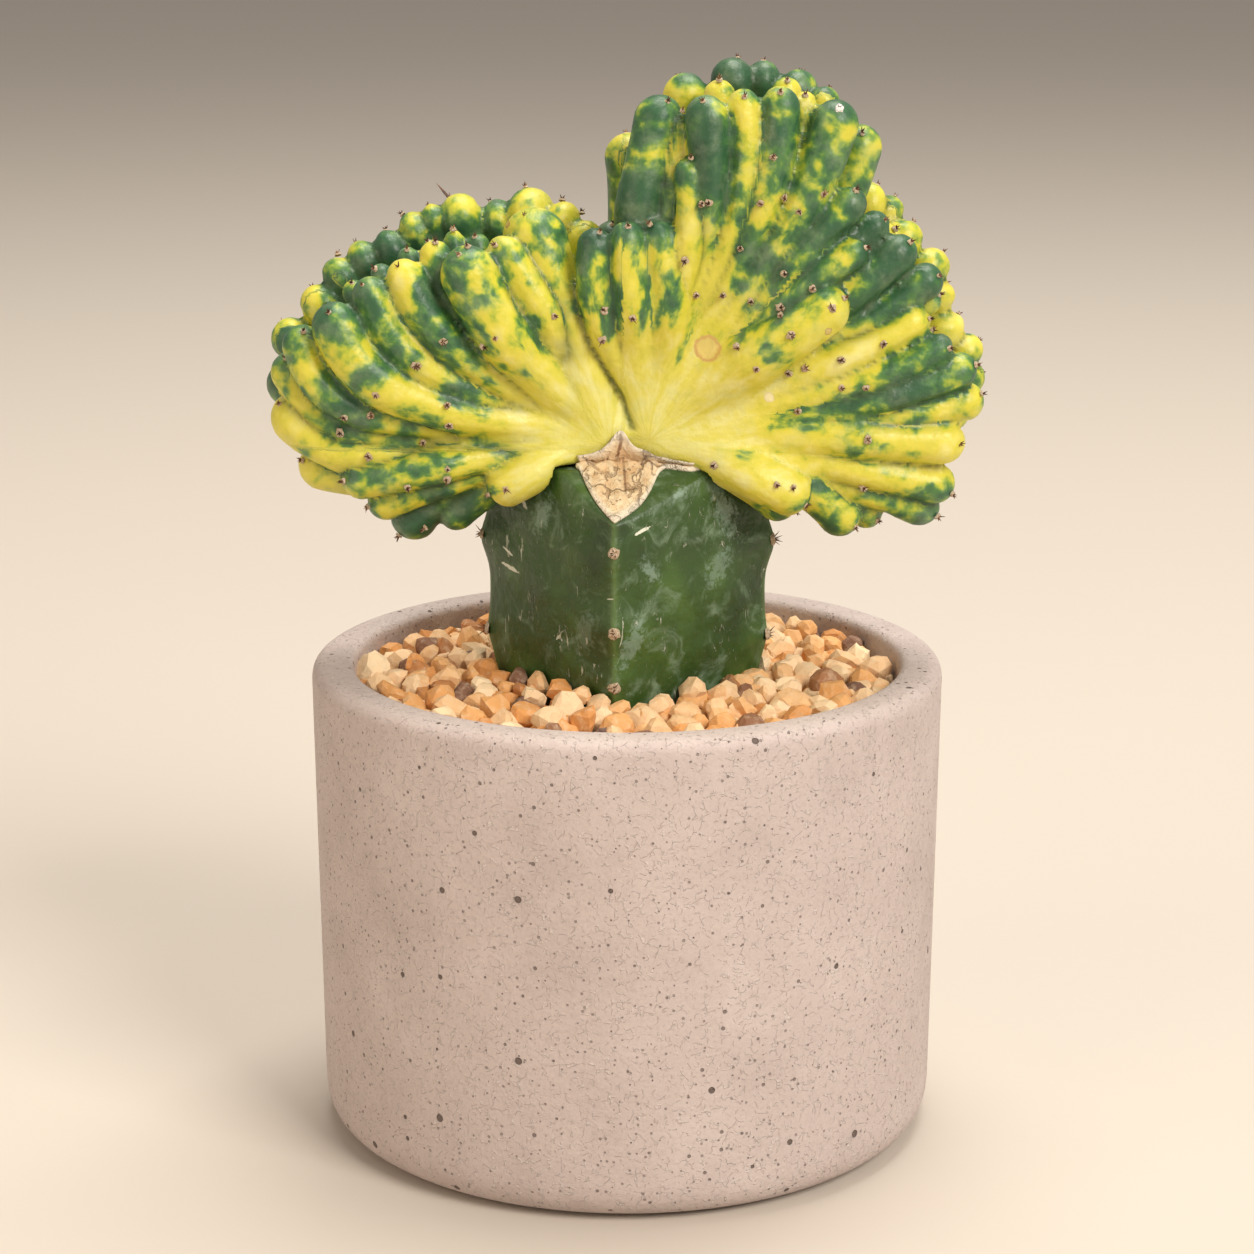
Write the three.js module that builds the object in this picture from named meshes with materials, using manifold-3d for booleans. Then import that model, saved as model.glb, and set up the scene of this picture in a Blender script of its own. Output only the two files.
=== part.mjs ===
// A potted cactus: a variegated crested scion grafted on a four-angled stock, in a round pot topped with gravel.
// Millimetres, +Z up. The origin is the middle of the pot's foot, and -Y is the side that faces the viewer.
import * as THREE from "three";
import { mergeVertices } from "three/addons/utils/BufferGeometryUtils.js";
import Module from "manifold-3d";

const wasm = await Module();
wasm.setup();

// The pot.
const potHeight = 91;
const rimRadius = 60;
const footRadius = 59;
const wallThickness = 8;
const floorThickness = 9;
const footRounding = 7;
const rimRounding = 2.6;
const boreRounding = 1.5;
const floorRounding = 5;
const boreTaper = 1;
const drainRadius = 5;
const footRecess = 1.5;
const footRingWidth = 14;
const potSides = 40;

// What fills the pot. Pieces that meet keep this gap.
const gap = 0.3;
const soilTop = 77;
const gravelAtWall = 84.5;
const gravelAtStock = 87.5;
const stoneSize = { least: 4.2, most: 5.4 };
const stoneSpacing = 8.7;
const stoneLift = 1.6;

// The stock: a square column, seen edge on and turned a little.
const stockRidge = 26.4;
const stockFace = 20.6;
const stockTurn = THREE.MathUtils.degToRad(-5);
const stockTop = 130;
const stubBottom = 54;
const stockSides = 24;
const shoulderFoot = 121;
const bevelStart = 14.9;
const bevelSlope = { front: 0.75, side: 0.3 };
const bevelTurn = THREE.MathUtils.degToRad(14);
const callusThickness = 1.1;
const callusInset = 0.6;
const callusUnder = 14;
const callusReach = 5;
const ridgeSwell = 0.9;
const swellReach = 4.2;
const ridgeSharpness = 2.2;
const waist = { share: 0.93, from: 76, to: 112, atTop: 0.985 };
const stubShare = 0.62;
const frontAreoles = [91.5, 102, 117];
const sideAreoles = [95.5, 114];

// The scion's two hubs, where its fingers spread from, and the half thickness of its base.
const leftHub = new THREE.Vector3(-3, 0, 134);
const rightHub = new THREE.Vector3(4, 0, 135);
const baseHalf = 8.5;
const neckHalf = new THREE.Vector3(16.5, 13.5, 12);
const neckHeight = 135;
const fingerSides = 5;
const fleshSides = 5;
const rootShare = 0.55;
const depthShare = 1.12;
const rootReach = 3;
const rootRaise = 2.5;
const bellyRaise = 6;
const pathPull = 0.38;
const tipRound = 1.15;
// A finger whose tip lies behind this y belongs to the sheet's back.
const frontUntil = -3;
const areoleRadius = 0.95;
const areoleSpacing = 60;

// One row for each finger of the left lobe: the tip's x, y and z, the finger's half width,
// and its heading at the root and at the tip, in degrees from +X towards +Z. Negative y is the front.
const leftFingers = [
  [-18.5, -8, 176.5, 6.0, 113, 107],
  [-24, -13, 172, 4.4, 111, 126],
  [-27.5, -15, 170, 3.2, 118, 120],
  [-30, -17, 171, 5.4, 133, 108],
  [-35, -13, 171.5, 3.2, 138, 96],
  [-41, -16, 168.5, 3.9, 150, 108],
  [-46.5, -16, 165.5, 4.0, 156, 98],
  [-53, -17, 161, 4.9, 164, 97],
  [-58.5, -14, 156.5, 4.0, 168, 84],
  [-62, -10, 151, 4.0, 173, 98],
  [-63, -8, 143, 5.4, 178, 118],
  [-60.5, -6, 131, 4.8, 183, 158],
  [-52.5, -12, 127.5, 4.2, 184, 190],
  [-48, -8, 122, 4.2, 186, 204],
  [-43, -3, 116.5, 4.6, 188, 222],
  [-35, -5, 118.5, 4.2, 190, 222],
  [-25, -12, 125.5, 4.0, 190, 202],
  [-12.5, 3, 176.5, 4.2, 108, 92],
  [-8, 1, 173.5, 4.0, 102, 80],
  [-19, 5, 178.5, 5.2, 114, 100],
  [-25, 6, 176.5, 4.2, 120, 108],
  [-32.5, 5, 177.5, 4.6, 128, 104],
  [-37, 5, 176, 3.6, 134, 108],
  [-40.5, 5, 174.5, 4.1, 141, 112],
  [-45.5, 4, 171, 4.2, 147, 112],
  [-50.5, 4, 169, 4.1, 153, 112],
  [-55, 3, 166, 4.1, 158, 118],
  [-59, 2, 161, 4.4, 164, 122],
  [-64.5, 2, 154.5, 4.2, 169, 120],
  [-65.8, 3, 146, 4.3, 175, 122],
  [-63, 7, 137, 4.6, 181, 150],
  [-56, 9, 128, 4.4, 185, 185],
  [-46, 9, 121, 4.4, 188, 208],
  [-33, 10, 122, 4.4, 190, 205],
];

// The same for the right lobe, whose fan stands higher and folds forward at its right.
const rightFingers = [
  [-2.5, -4, 174, 3.4, 104, 88],
  [-4.7, -15, 174, 3.5, 112, 74],
  [0, -16, 175.5, 3.7, 97, 91],
  [5, -15, 175.5, 3.6, 77, 106],
  [7, -8, 197, 4.6, 104, 76],
  [9.5, -10, 194.5, 2.7, 92, 88],
  [14, -13, 197.5, 4.2, 82, 97],
  [11, -15, 187, 3.3, 88, 100],
  [20.3, -12, 198.5, 3.7, 72, 103],
  [27.3, -12, 199, 4.0, 68, 91],
  [32, -9, 198, 2.7, 64, 86],
  [38, -11, 196.5, 4.4, 59, 78],
  [42.8, -3, 191.5, 4.2, 53, 82],
  [42, -13, 180.5, 3.5, 47, 45],
  [47, -10, 175.5, 3.4, 43, 38],
  [43, -15, 171, 3.2, 39, 27],
  [51.5, -11, 171.5, 3.9, 37, 42],
  [56.5, -9, 166, 3.6, 32, 43],
  [39, -16, 163, 5.0, 42, 40],
  [54.7, -11, 158.5, 3.9, 28, 32],
  [56.3, -8, 154.5, 3.2, 24, 30],
  [59.2, -12, 153, 3.5, 21, 29],
  [63.5, -11, 149, 3.8, 15, 24],
  [65.2, -9, 143, 4.0, 10, 18],
  [62, -10, 134.5, 4.7, 5, -3],
  [60.4, -8, 125.2, 4.4, -3, -14],
  [58.2, -6, 120.8, 4.2, -7, -20],
  [47, -5, 118.5, 4.0, -9, -45],
  [42, -8, 117.5, 4.2, -12, -55],
  [33, -13, 124, 4.1, -14, -24],
  [30.5, -6, 120.5, 3.8, -16, -42],
  [0, 3, 189, 4.3, 104, 96],
  [10.5, 4, 200, 4.2, 84, 98],
  [19.5, 6, 202.7, 4.6, 74, 96],
  [25, 7, 202.2, 4.2, 68, 88],
  [31.8, 5, 200.6, 4.3, 62, 84],
  [36.5, 2, 198, 3.2, 57, 78],
  [46.3, 0, 180, 4.1, 48, 62],
  [50, 2, 177.5, 3.7, 44, 52],
  [53.2, -1, 173, 4.2, 38, 50],
  [58.5, 0, 167.5, 4.1, 33, 50],
  [60, -1, 162, 4.0, 29, 38],
  [62.2, -1, 155.5, 4.3, 23, 36],
  [65.9, 0, 151, 3.9, 18, 32],
  [66.6, 1, 146, 3.9, 14, 26],
  [64.5, 4, 138, 4.4, 7, 8],
  [61, 7, 130, 4.4, 1, -8],
  [54, 8, 122, 4.4, -6, -28],
  [40, 9, 121, 4.3, -12, -32],
];

// The flesh behind the fingers: fat fingers in the middle of the sheet, in rows of the same form.
const leftFlesh = [
  [-17, -2, 168, 7.5, 112, 105],
  [-28, -4, 165, 8, 125, 112],
  [-40, -5, 160, 8, 143, 115],
  [-50, -5, 153, 8, 158, 118],
  [-56, -3, 144, 8, 170, 135],
  [-54, 0, 134, 8, 180, 165],
  [-43, 1, 126, 7, 186, 195],
  [-24, 0, 131, 6, 188, 192],
];
const rightFlesh = [
  [-1, -5, 167, 6.5, 100, 88],
  [7, -2, 187, 6.5, 94, 84],
  [17, -2, 190, 7.5, 78, 94],
  [28, -2, 189, 7.5, 66, 84],
  [37, -3, 181, 7.5, 55, 64],
  [44, -4, 168, 7.5, 43, 40],
  [50, -4, 157, 7.5, 31, 34],
  [56, -4, 146, 7.5, 18, 20],
  [55, -1, 135, 7.5, 5, -2],
  [47, 0, 126, 7, -7, -22],
  [26, 0, 130, 6, -12, -14],
];

const materials = {
  pot: new THREE.MeshStandardMaterial({ color: "#b9a69a", roughness: 0.8 }),
  soil: new THREE.MeshStandardMaterial({ color: "#3a2a1e", roughness: 1 }),
  gravel: new THREE.MeshStandardMaterial({ color: "#d9a868", roughness: 0.85 }),
  stock: new THREE.MeshStandardMaterial({ color: "#3c5a2c", roughness: 0.5 }),
  callus: new THREE.MeshStandardMaterial({ color: "#cfa980", roughness: 0.9 }),
  crest: new THREE.MeshStandardMaterial({ color: "#b9b63c", roughness: 0.45 }),
};

// The same draws each run.
function randomFrom(seed) {
  let state = seed;
  return () => {
    state = (state + 0x6d2b79f5) | 0;
    let t = Math.imul(state ^ (state >>> 15), 1 | state);
    t = (t + Math.imul(t ^ (t >>> 7), 61 | t)) ^ t;
    return ((t ^ (t >>> 14)) >>> 0) / 4294967296;
  };
}

function toSolid(geometry) {
  const bare = new THREE.BufferGeometry().setAttribute("position", geometry.getAttribute("position"));
  bare.setIndex(geometry.index);
  const merged = mergeVertices(bare, 1e-4);
  const corners = merged.index.array;
  const kept = [];
  for (let i = 0; i < corners.length; i += 3) {
    const [a, b, c] = corners.slice(i, i + 3);
    if (a !== b && b !== c && c !== a) kept.push(a, b, c);
  }
  return new wasm.Manifold(
    new wasm.Mesh({
      numProp: 3,
      vertProperties: new Float32Array(merged.attributes.position.array),
      triVerts: new Uint32Array(kept),
    }),
  );
}

function toGeometry(solid) {
  const mesh = solid.getMesh();
  const geometry = new THREE.BufferGeometry();
  geometry.setAttribute("position", new THREE.BufferAttribute(new Float32Array(mesh.vertProperties), 3));
  geometry.setIndex(new THREE.BufferAttribute(new Uint32Array(mesh.triVerts), 1));
  geometry.computeVertexNormals();
  return geometry;
}

// All the solids joined two by two, with a hollow that they seal filled and a loose scrap dropped.
function joined(solids) {
  let row = solids;
  while (row.length > 1) {
    const next = [];
    for (let i = 0; i < row.length; i += 2) next.push(row[i + 1] ? row[i].add(row[i + 1]) : row[i]);
    row = next;
  }
  return largestBody(row[0]);
}

function largestBody(solid) {
  const bodies = solid.decompose();
  return bodies.reduce((best, body) => (body.volume() > best.volume() ? body : best));
}

// A closed skin over rings of equal length, with a point at each end. Rings run anticlockwise seen
// from the last one.
function ringSkin(rings, firstPoint, lastPoint) {
  const sides = rings[0].length;
  const points = [firstPoint, ...rings.flat(), lastPoint];
  const last = points.length - 1;
  const faces = [];
  for (let j = 0; j < sides; j += 1) {
    const k = (j + 1) % sides;
    faces.push(0, 1 + k, 1 + j);
    faces.push(last, last - sides + j, last - sides + k);
    for (let i = 0; i < rings.length - 1; i += 1) {
      const low = 1 + i * sides;
      const high = low + sides;
      faces.push(low + j, low + k, high + k, low + j, high + k, high + j);
    }
  }
  const geometry = new THREE.BufferGeometry().setFromPoints(points);
  geometry.setIndex(faces);
  return geometry;
}

// Turned pieces: a profile of [radius, height] carried round the Z axis, closed unless it ends on the axis.
function turned(profile, sides) {
  const points = profile.map(([radius, height]) => new THREE.Vector2(radius, height));
  if (points[0].x > 0) points.push(points[0]);
  return new THREE.LatheGeometry(points, sides).rotateX(Math.PI / 2);
}

function quarterArc(centreR, centreZ, radius, fromDegrees, toDegrees, steps) {
  return Array.from({ length: steps + 1 }, (_, i) => {
    const angle = THREE.MathUtils.degToRad(THREE.MathUtils.lerp(fromDegrees, toDegrees, i / steps));
    return [centreR + radius * Math.cos(angle), centreZ + radius * Math.sin(angle)];
  });
}

const boreAtRim = rimRadius - wallThickness;
const boreAtFloor = boreAtRim - boreTaper;
const boreRadius = (z) =>
  THREE.MathUtils.mapLinear(z, floorThickness, potHeight, boreAtFloor, boreAtRim);

function potGeometry() {
  const ringInner = footRadius - footRounding - footRingWidth;
  return turned(
    [
      [drainRadius, footRecess],
      [ringInner - footRecess, footRecess],
      [ringInner, 0],
      ...quarterArc(footRadius - footRounding, footRounding, footRounding, -90, 0, 3),
      ...quarterArc(rimRadius - rimRounding, potHeight - rimRounding, rimRounding, 0, 90, 3),
      ...quarterArc(boreAtRim + boreRounding, potHeight - boreRounding, boreRounding, 90, 180, 2),
      ...quarterArc(boreAtFloor - floorRounding, floorThickness + floorRounding, floorRounding, 0, -90, 2),
      [drainRadius, floorThickness],
    ],
    potSides,
  );
}

// Half widths of the stock's section: ridges at four corners, flat to slightly full faces, and a swelling
// of each ridge at its areoles.
function stockRadius(angle, z) {
  const turn = ((angle - stockTurn) / (Math.PI / 2)) % 1;
  const fromRidge = Math.abs(((turn + 1.5) % 1) - 0.5) * 2;
  const ridge = Math.pow(1 - fromRidge, ridgeSharpness);
  const side = Math.abs(Math.cos(angle - stockTurn)) > 0.7;
  const heights = side ? sideAreoles : frontAreoles;
  const swell = heights.reduce((sum, h) => sum + Math.exp(-(((z - h) / swellReach) ** 2)), 0);
  const full = THREE.MathUtils.smoothstep(z, waist.from, waist.to);
  const above = THREE.MathUtils.mapLinear(z, waist.to, stockTop, 1, waist.atTop);
  const width = Math.min(THREE.MathUtils.lerp(waist.share, 1, full) * above, 1);
  const stub = THREE.MathUtils.lerp(stubShare, 1, THREE.MathUtils.smoothstep(z, stubBottom, waist.from));
  const section = THREE.MathUtils.lerp(stockFace, stockRidge, ridge);
  return section * width * stub + ridge * ridgeSwell * swell;
}

// How high the stock reaches: a flat seat, cut by one slanting plane towards each ridge, steeper at the
// front and the back.
function shoulderHeight(radius, angle) {
  const quarters = (angle - stockTurn - bevelTurn) / (Math.PI / 2);
  const fromPlane = ((((quarters % 1) + 1.5) % 1) - 0.5) * (Math.PI / 2);
  const slope = Math.abs(Math.round(quarters)) % 2 ? bevelSlope.front : bevelSlope.side;
  return stockTop - slope * Math.max(0, radius * Math.cos(fromPlane) - bevelStart);
}

function stockGeometry(grow) {
  const heights = [stubBottom, 72, 80, 87, 91.5, 96, 102, 107, 112, 117, 122];
  const ringAt = (radiusAt, heightAt) =>
    Array.from({ length: stockSides }, (_, i) => {
      const angle = stockTurn + (i / stockSides) * Math.PI * 2;
      const radius = radiusAt(angle);
      return new THREE.Vector3(radius * Math.cos(angle), radius * Math.sin(angle), heightAt(angle, radius));
    });
  const rings = heights.map((z, i) =>
    ringAt(
      (angle) => stockRadius(angle, Math.min(z, shoulderFoot)) + grow,
      (angle) => (i ? Math.min(z, shoulderHeight(stockRadius(angle, shoulderFoot), angle) - 1) : z - grow),
    ),
  );
  for (const share of [1, 0.86, 0.72]) {
    const radiusAt = (angle) => stockRadius(angle, shoulderFoot) * share + grow;
    rings.push(ringAt(radiusAt, (angle, radius) => shoulderHeight(radius - grow, angle) + grow));
  }
  return ringSkin(
    rings,
    new THREE.Vector3(0, 0, stubBottom - grow),
    new THREE.Vector3(0, 0, stockTop + grow),
  );
}

// A low four-sided nub with a short point: an areole with its spines, sunk in the skin it stands on.
function areole(at, outward, size) {
  const nub = new THREE.ConeGeometry(areoleRadius * size, 2.2 * size, 4).translate(0, 0.35 * size, 0);
  const turn = new THREE.Quaternion().setFromUnitVectors(new THREE.Vector3(0, 1, 0), outward);
  return toSolid(nub.applyQuaternion(turn).translate(at.x, at.y, at.z));
}

function stockAreoles() {
  return [0, 1, 2, 3].flatMap((ridge) => {
    const angle = stockTurn + (ridge * Math.PI) / 2;
    const outward = new THREE.Vector3(Math.cos(angle), Math.sin(angle), 0.15).normalize();
    const heights = ridge % 2 ? frontAreoles : sideAreoles;
    return heights.map((z) => {
      const radius = stockRadius(angle, z) - 0.35;
      return areole(new THREE.Vector3(radius * Math.cos(angle), radius * Math.sin(angle), z), outward, 1.1);
    });
  });
}

// The path of a finger: it leaves the hub on its root heading and arrives at its tip on its tip heading,
// with its belly further from the sheet's middle than both.
function fingerPath([tipX, tipY, tipZ, , rootHeading, tipHeading], hub, rootDepth) {
  const along = (heading) => {
    const angle = THREE.MathUtils.degToRad(heading);
    return new THREE.Vector3(Math.cos(angle), 0, Math.sin(angle));
  };
  const side = Math.sign(rootDepth);
  const root = hub.clone().addScaledVector(along(rootHeading), rootReach).add(new THREE.Vector3(0, rootDepth, 0));
  const tip = new THREE.Vector3(tipX, tipY, tipZ);
  const reach = root.distanceTo(tip) * pathPull;
  const nearRoot = root.clone().addScaledVector(along(rootHeading), reach);
  nearRoot.y = root.y + side * rootRaise;
  const nearTip = tip.clone().addScaledVector(along(tipHeading), -reach);
  nearTip.y = tip.y + side * bellyRaise;
  return new THREE.CubicBezierCurve3(root, nearRoot, nearTip, tip);
}

// The finger's half width along its path: slim where it grows out of the sheet, round at its tip.
function fingerWidth(share, roundFrom) {
  const body = THREE.MathUtils.lerp(rootShare, 1, THREE.MathUtils.smoothstep(share, 0, 0.75));
  const past = Math.max(0, (share - roundFrom) / (1 - roundFrom));
  return body * Math.sqrt(Math.max(0, 1 - past * past));
}

function fingerFrame(path, share) {
  const tangent = path.getTangent(share);
  const outward = new THREE.Vector3(0, 1, 0).addScaledVector(tangent, -tangent.y).normalize();
  return { centre: path.getPoint(share), outward, across: tangent.clone().cross(outward) };
}

function fingerSolid(row, path, sides) {
  const halfWidth = row[3];
  const roundFrom = 1 - (tipRound * halfWidth) / path.getLength();
  const nearEnd = (share) => THREE.MathUtils.lerp(roundFrom, 1, share);
  const rings = [0, 0.5, roundFrom, nearEnd(0.72)].map((share) => {
    const { centre, outward, across } = fingerFrame(path, share);
    const width = halfWidth * fingerWidth(share, roundFrom);
    return Array.from({ length: sides }, (_, j) => {
      const angle = (j / sides) * Math.PI * 2;
      return centre
        .clone()
        .addScaledVector(outward, width * depthShare * Math.cos(angle))
        .addScaledVector(across, width * Math.sin(angle));
    });
  });
  return toSolid(ringSkin(rings, path.getPoint(0), path.getPoint(1)));
}

// Areoles stand on a finger's outer line: one by the tip, and others a spacing apart down its length.
function fingerAreoles(row, path, side, random) {
  const length = path.getLength();
  const roundFrom = 1 - (tipRound * row[3]) / length;
  const found = [];
  for (let fromTip = row[3] * 0.55; fromTip < length * 0.5; fromTip += areoleSpacing * (0.85 + 0.3 * random())) {
    const share = 1 - fromTip / length;
    const { centre, outward } = fingerFrame(path, share);
    const radius = row[3] * fingerWidth(share, roundFrom) * depthShare;
    const out = outward.multiplyScalar(side);
    out.z += share > roundFrom ? 0.35 : 0;
    out.normalize();
    found.push(areole(centre.addScaledVector(out, radius * 0.93), out, 0.9));
  }
  return found;
}

function crestSolid() {
  const random = randomFrom(11);
  const solids = [];
  const lobes = [
    [leftHub, leftFingers, leftFlesh],
    [rightHub, rightFingers, rightFlesh],
  ];
  for (const [hub, fingers, flesh] of lobes) {
    for (const row of fingers) {
      const behind = row[1] > frontUntil;
      const side = behind ? 1 : -1;
      const path = fingerPath(row, hub, side * baseHalf);
      solids.push(fingerSolid(row, path, fingerSides));
      solids.push(...fingerAreoles(row, path, side, random));
    }
    for (const row of flesh) solids.push(fingerSolid(row, fingerPath(row, hub, 1e-3), fleshSides));
  }
  const neck = new THREE.SphereGeometry(1, 12, 8).scale(...neckHalf.toArray()).translate(0, 0, neckHeight);
  solids.push(toSolid(neck));
  const seat = toSolid(stockGeometry(gap)).add(callusBlock(gap));
  return largestBody(joined(solids).subtract(seat));
}

// Dried tissue at the union: a skin on the stock's cut shoulders, with a ragged edge just inside the ridges,
// that stays under the scion where the seat isn't cut.
function callusBlock(grow) {
  const random = randomFrom(5);
  const rings = [[], []];
  for (let i = 0; i < stockSides; i += 1) {
    const angle = stockTurn + (i / stockSides) * Math.PI * 2;
    const edge = stockRadius(angle, shoulderFoot);
    const cut = THREE.MathUtils.smoothstep(stockTop - shoulderHeight(edge, angle), 0, 1.2);
    const radius = THREE.MathUtils.lerp(callusUnder, edge - callusInset * (0.4 + random()), cut) + grow;
    const at = (z) => new THREE.Vector3(radius * Math.cos(angle), radius * Math.sin(angle), z);
    rings[0].push(at(shoulderFoot - callusReach));
    rings[1].push(at(stockTop + callusReach));
  }
  const block = ringSkin(
    rings,
    new THREE.Vector3(0, 0, shoulderFoot - callusReach),
    new THREE.Vector3(0, 0, stockTop + callusReach),
  );
  return toSolid(block).intersect(toSolid(stockGeometry(gap + callusThickness + grow)));
}

function callusSolid() {
  return largestBody(callusBlock(0).subtract(toSolid(stockGeometry(gap))));
}

function soilSolid() {
  const radiusAt = (z) => boreRadius(z) - gap;
  const cornerInset = floorRounding + gap;
  const block = turned(
    [
      [0, floorThickness + gap],
      [boreAtFloor - cornerInset, floorThickness + gap],
      ...quarterArc(boreAtFloor - cornerInset, floorThickness + cornerInset, floorRounding, -60, 0, 2),
      [radiusAt(soilTop), soilTop],
      [0, soilTop],
    ],
    potSides,
  );
  return toSolid(block).subtract(toSolid(stockGeometry(gap)));
}

// The gravel: a bed that rises a little to the stock, covered with stones on a sunflower spiral.
function gravelSolid() {
  const random = randomFrom(23);
  const bedHeight = (radius) =>
    THREE.MathUtils.mapLinear(radius, stockFace, boreAtRim, gravelAtStock, gravelAtWall);
  const bed = turned(
    [
      [0, soilTop + gap],
      [boreRadius(soilTop) - gap, soilTop + gap],
      [boreRadius(gravelAtWall) - gap, gravelAtWall],
      [stockFace, gravelAtStock],
      [0, gravelAtStock],
    ],
    potSides,
  );
  const solids = [toSolid(bed)];
  const golden = Math.PI * (3 - Math.sqrt(5));
  const count = Math.floor((boreAtRim / stoneSpacing) ** 2 * Math.PI);
  for (let i = 0; i < count; i += 1) {
    const size = THREE.MathUtils.lerp(stoneSize.least, stoneSize.most, random());
    const radius = Math.sqrt((i + 0.5) / count) * (boreAtRim - gap - 5);
    const angle = i * golden + (random() - 0.5) * 0.06;
    const turn = new THREE.Quaternion(random() - 0.5, random() - 0.5, random() - 0.5, random()).normalize();
    const lift = (random() - 0.35) * stoneLift;
    if (radius < stockRadius(angle, 90) + size * 0.9) continue;
    const stone = new THREE.IcosahedronGeometry(size, 0)
      .scale(1.05, 0.95, 0.8 + 0.25 * random())
      .applyQuaternion(turn)
      .translate(radius * Math.cos(angle), radius * Math.sin(angle), bedHeight(radius) + lift);
    solids.push(toSolid(stone));
  }
  return largestBody(joined(solids).subtract(toSolid(stockGeometry(gap))));
}

function named(name, geometry, material) {
  const mesh = new THREE.Mesh(geometry, material);
  mesh.name = name;
  return mesh;
}

const stockSolid = joined([toSolid(stockGeometry(0)), ...stockAreoles()]);

const group = new THREE.Group();
group.add(
  named("pot", potGeometry(), materials.pot),
  named("soil", toGeometry(soilSolid()), materials.soil),
  named("gravel", toGeometry(gravelSolid()), materials.gravel),
  named("rootstock", toGeometry(stockSolid), materials.stock),
  named("graft_callus", toGeometry(callusSolid()), materials.callus),
  named("crest", toGeometry(crestSolid()), materials.crest),
);

export default group;
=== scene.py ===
import math

import bmesh
import bpy
import numpy as np
import openvdb
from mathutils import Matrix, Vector


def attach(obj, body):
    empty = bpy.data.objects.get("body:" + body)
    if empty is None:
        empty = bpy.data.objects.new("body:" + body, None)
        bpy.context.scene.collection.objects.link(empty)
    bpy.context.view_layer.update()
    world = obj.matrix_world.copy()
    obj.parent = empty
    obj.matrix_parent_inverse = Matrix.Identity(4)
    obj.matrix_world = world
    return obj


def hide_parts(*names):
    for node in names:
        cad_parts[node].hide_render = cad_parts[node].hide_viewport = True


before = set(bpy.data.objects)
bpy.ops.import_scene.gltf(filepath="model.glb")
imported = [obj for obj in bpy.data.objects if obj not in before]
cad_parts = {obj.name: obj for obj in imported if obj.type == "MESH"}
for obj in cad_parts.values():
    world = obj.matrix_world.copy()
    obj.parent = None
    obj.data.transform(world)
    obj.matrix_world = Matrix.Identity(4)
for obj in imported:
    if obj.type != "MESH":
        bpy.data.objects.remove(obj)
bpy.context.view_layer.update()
scene = bpy.context.scene
tau = math.tau
print("frame loaded")


# Camera: the photograph's own view, with its pitch and its distance.
view = {"distance": 0.588, "pitch": 14.35, "aim": 0.0963, "lens": 88.5}
pitch = math.radians(view["pitch"])
camera = bpy.data.objects.new("camera", bpy.data.cameras.new("camera"))
camera.data.lens = view["lens"]
camera.data.sensor_width = 36
camera.location = (
    0,
    -view["distance"] * math.cos(pitch),
    view["aim"] + view["distance"] * math.sin(pitch),
)
camera.rotation_euler = (math.pi / 2 - pitch, 0, 0)
scene.collection.objects.link(camera)
scene.camera = camera
scene.view_settings.view_transform = "Standard"


def srgb(code):
    # A colour written as RRGGBB, turned from screen values to linear light.
    parts = np.array([int(code[i : i + 2], 16) / 255 for i in (0, 2, 4)])
    linear = np.where(parts <= 0.04045, parts / 12.92, ((parts + 0.055) / 1.055) ** 2.4)
    return (*linear.tolist(), 1.0)


def addNode(tree, kind, settings=None, links=None):
    # One shader node with its settings and its incoming links.
    made = tree.nodes.new("ShaderNode" + kind)
    for key, value in (settings or {}).items():
        if isinstance(key, int) or key in made.inputs:
            made.inputs[key].default_value = value
        else:
            setattr(made, key, value)
    for key, source in (links or {}).items():
        tree.links.new(source, made.inputs[key])
    return made


def ramp(tree, source, stops, smooth=False):
    # A colour ramp over the given (position, RRGGBB) stops.
    made = addNode(tree, "ValToRGB", {}, {"Fac": source})
    made.color_ramp.interpolation = "EASE" if smooth else "LINEAR"
    while len(made.color_ramp.elements) < len(stops):
        made.color_ramp.elements.new(0.5)
    for element, (position, code) in zip(made.color_ramp.elements, stops):
        element.position = position
        element.color = srgb(code)
    return made.outputs["Color"]


def noise(tree, vector, scale, detail=3, rough=0.5, distort=0.0):
    # Noise of about scale cells for each unit of the vector, from 0 to 1.
    settings = {"Scale": scale, "Detail": detail, "Roughness": rough, "Distortion": distort}
    return addNode(tree, "TexNoise", settings, {"Vector": vector}).outputs["Fac"]


def calc(tree, operation, a, b=0.0, c=0.0):
    # One sum over sockets or plain numbers.
    made = addNode(tree, "Math", {"operation": operation})
    for i, value in enumerate((a, b, c)):
        if isinstance(value, (int, float)):
            made.inputs[i].default_value = value
        else:
            tree.links.new(value, made.inputs[i])
    return made.outputs[0]


def span(tree, source, low, high, toLow=0.0, toHigh=1.0):
    # The part of source between low and high, carried to another span with soft ends.
    settings = {"interpolation_type": "SMOOTHSTEP", 1: low, 2: high, 3: toLow, 4: toHigh}
    return addNode(tree, "MapRange", settings, {0: source}).outputs[0]


def mixColor(tree, share, a, b):
    # Colour b over colour a by a share.
    made = addNode(tree, "Mix", {"data_type": "RGBA"})
    for i, value in ((0, share), (6, a), (7, b)):
        if isinstance(value, str):
            value = srgb(value)
        if isinstance(value, (int, float, tuple)):
            made.inputs[i].default_value = value
        else:
            tree.links.new(value, made.inputs[i])
    return made.outputs[2]


def tint(tree, base, mask, strength, code):
    # A colour laid over the base where the mask is, by strength times the mask.
    return mixColor(tree, calc(tree, "MULTIPLY", mask, strength), base, code)


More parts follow.
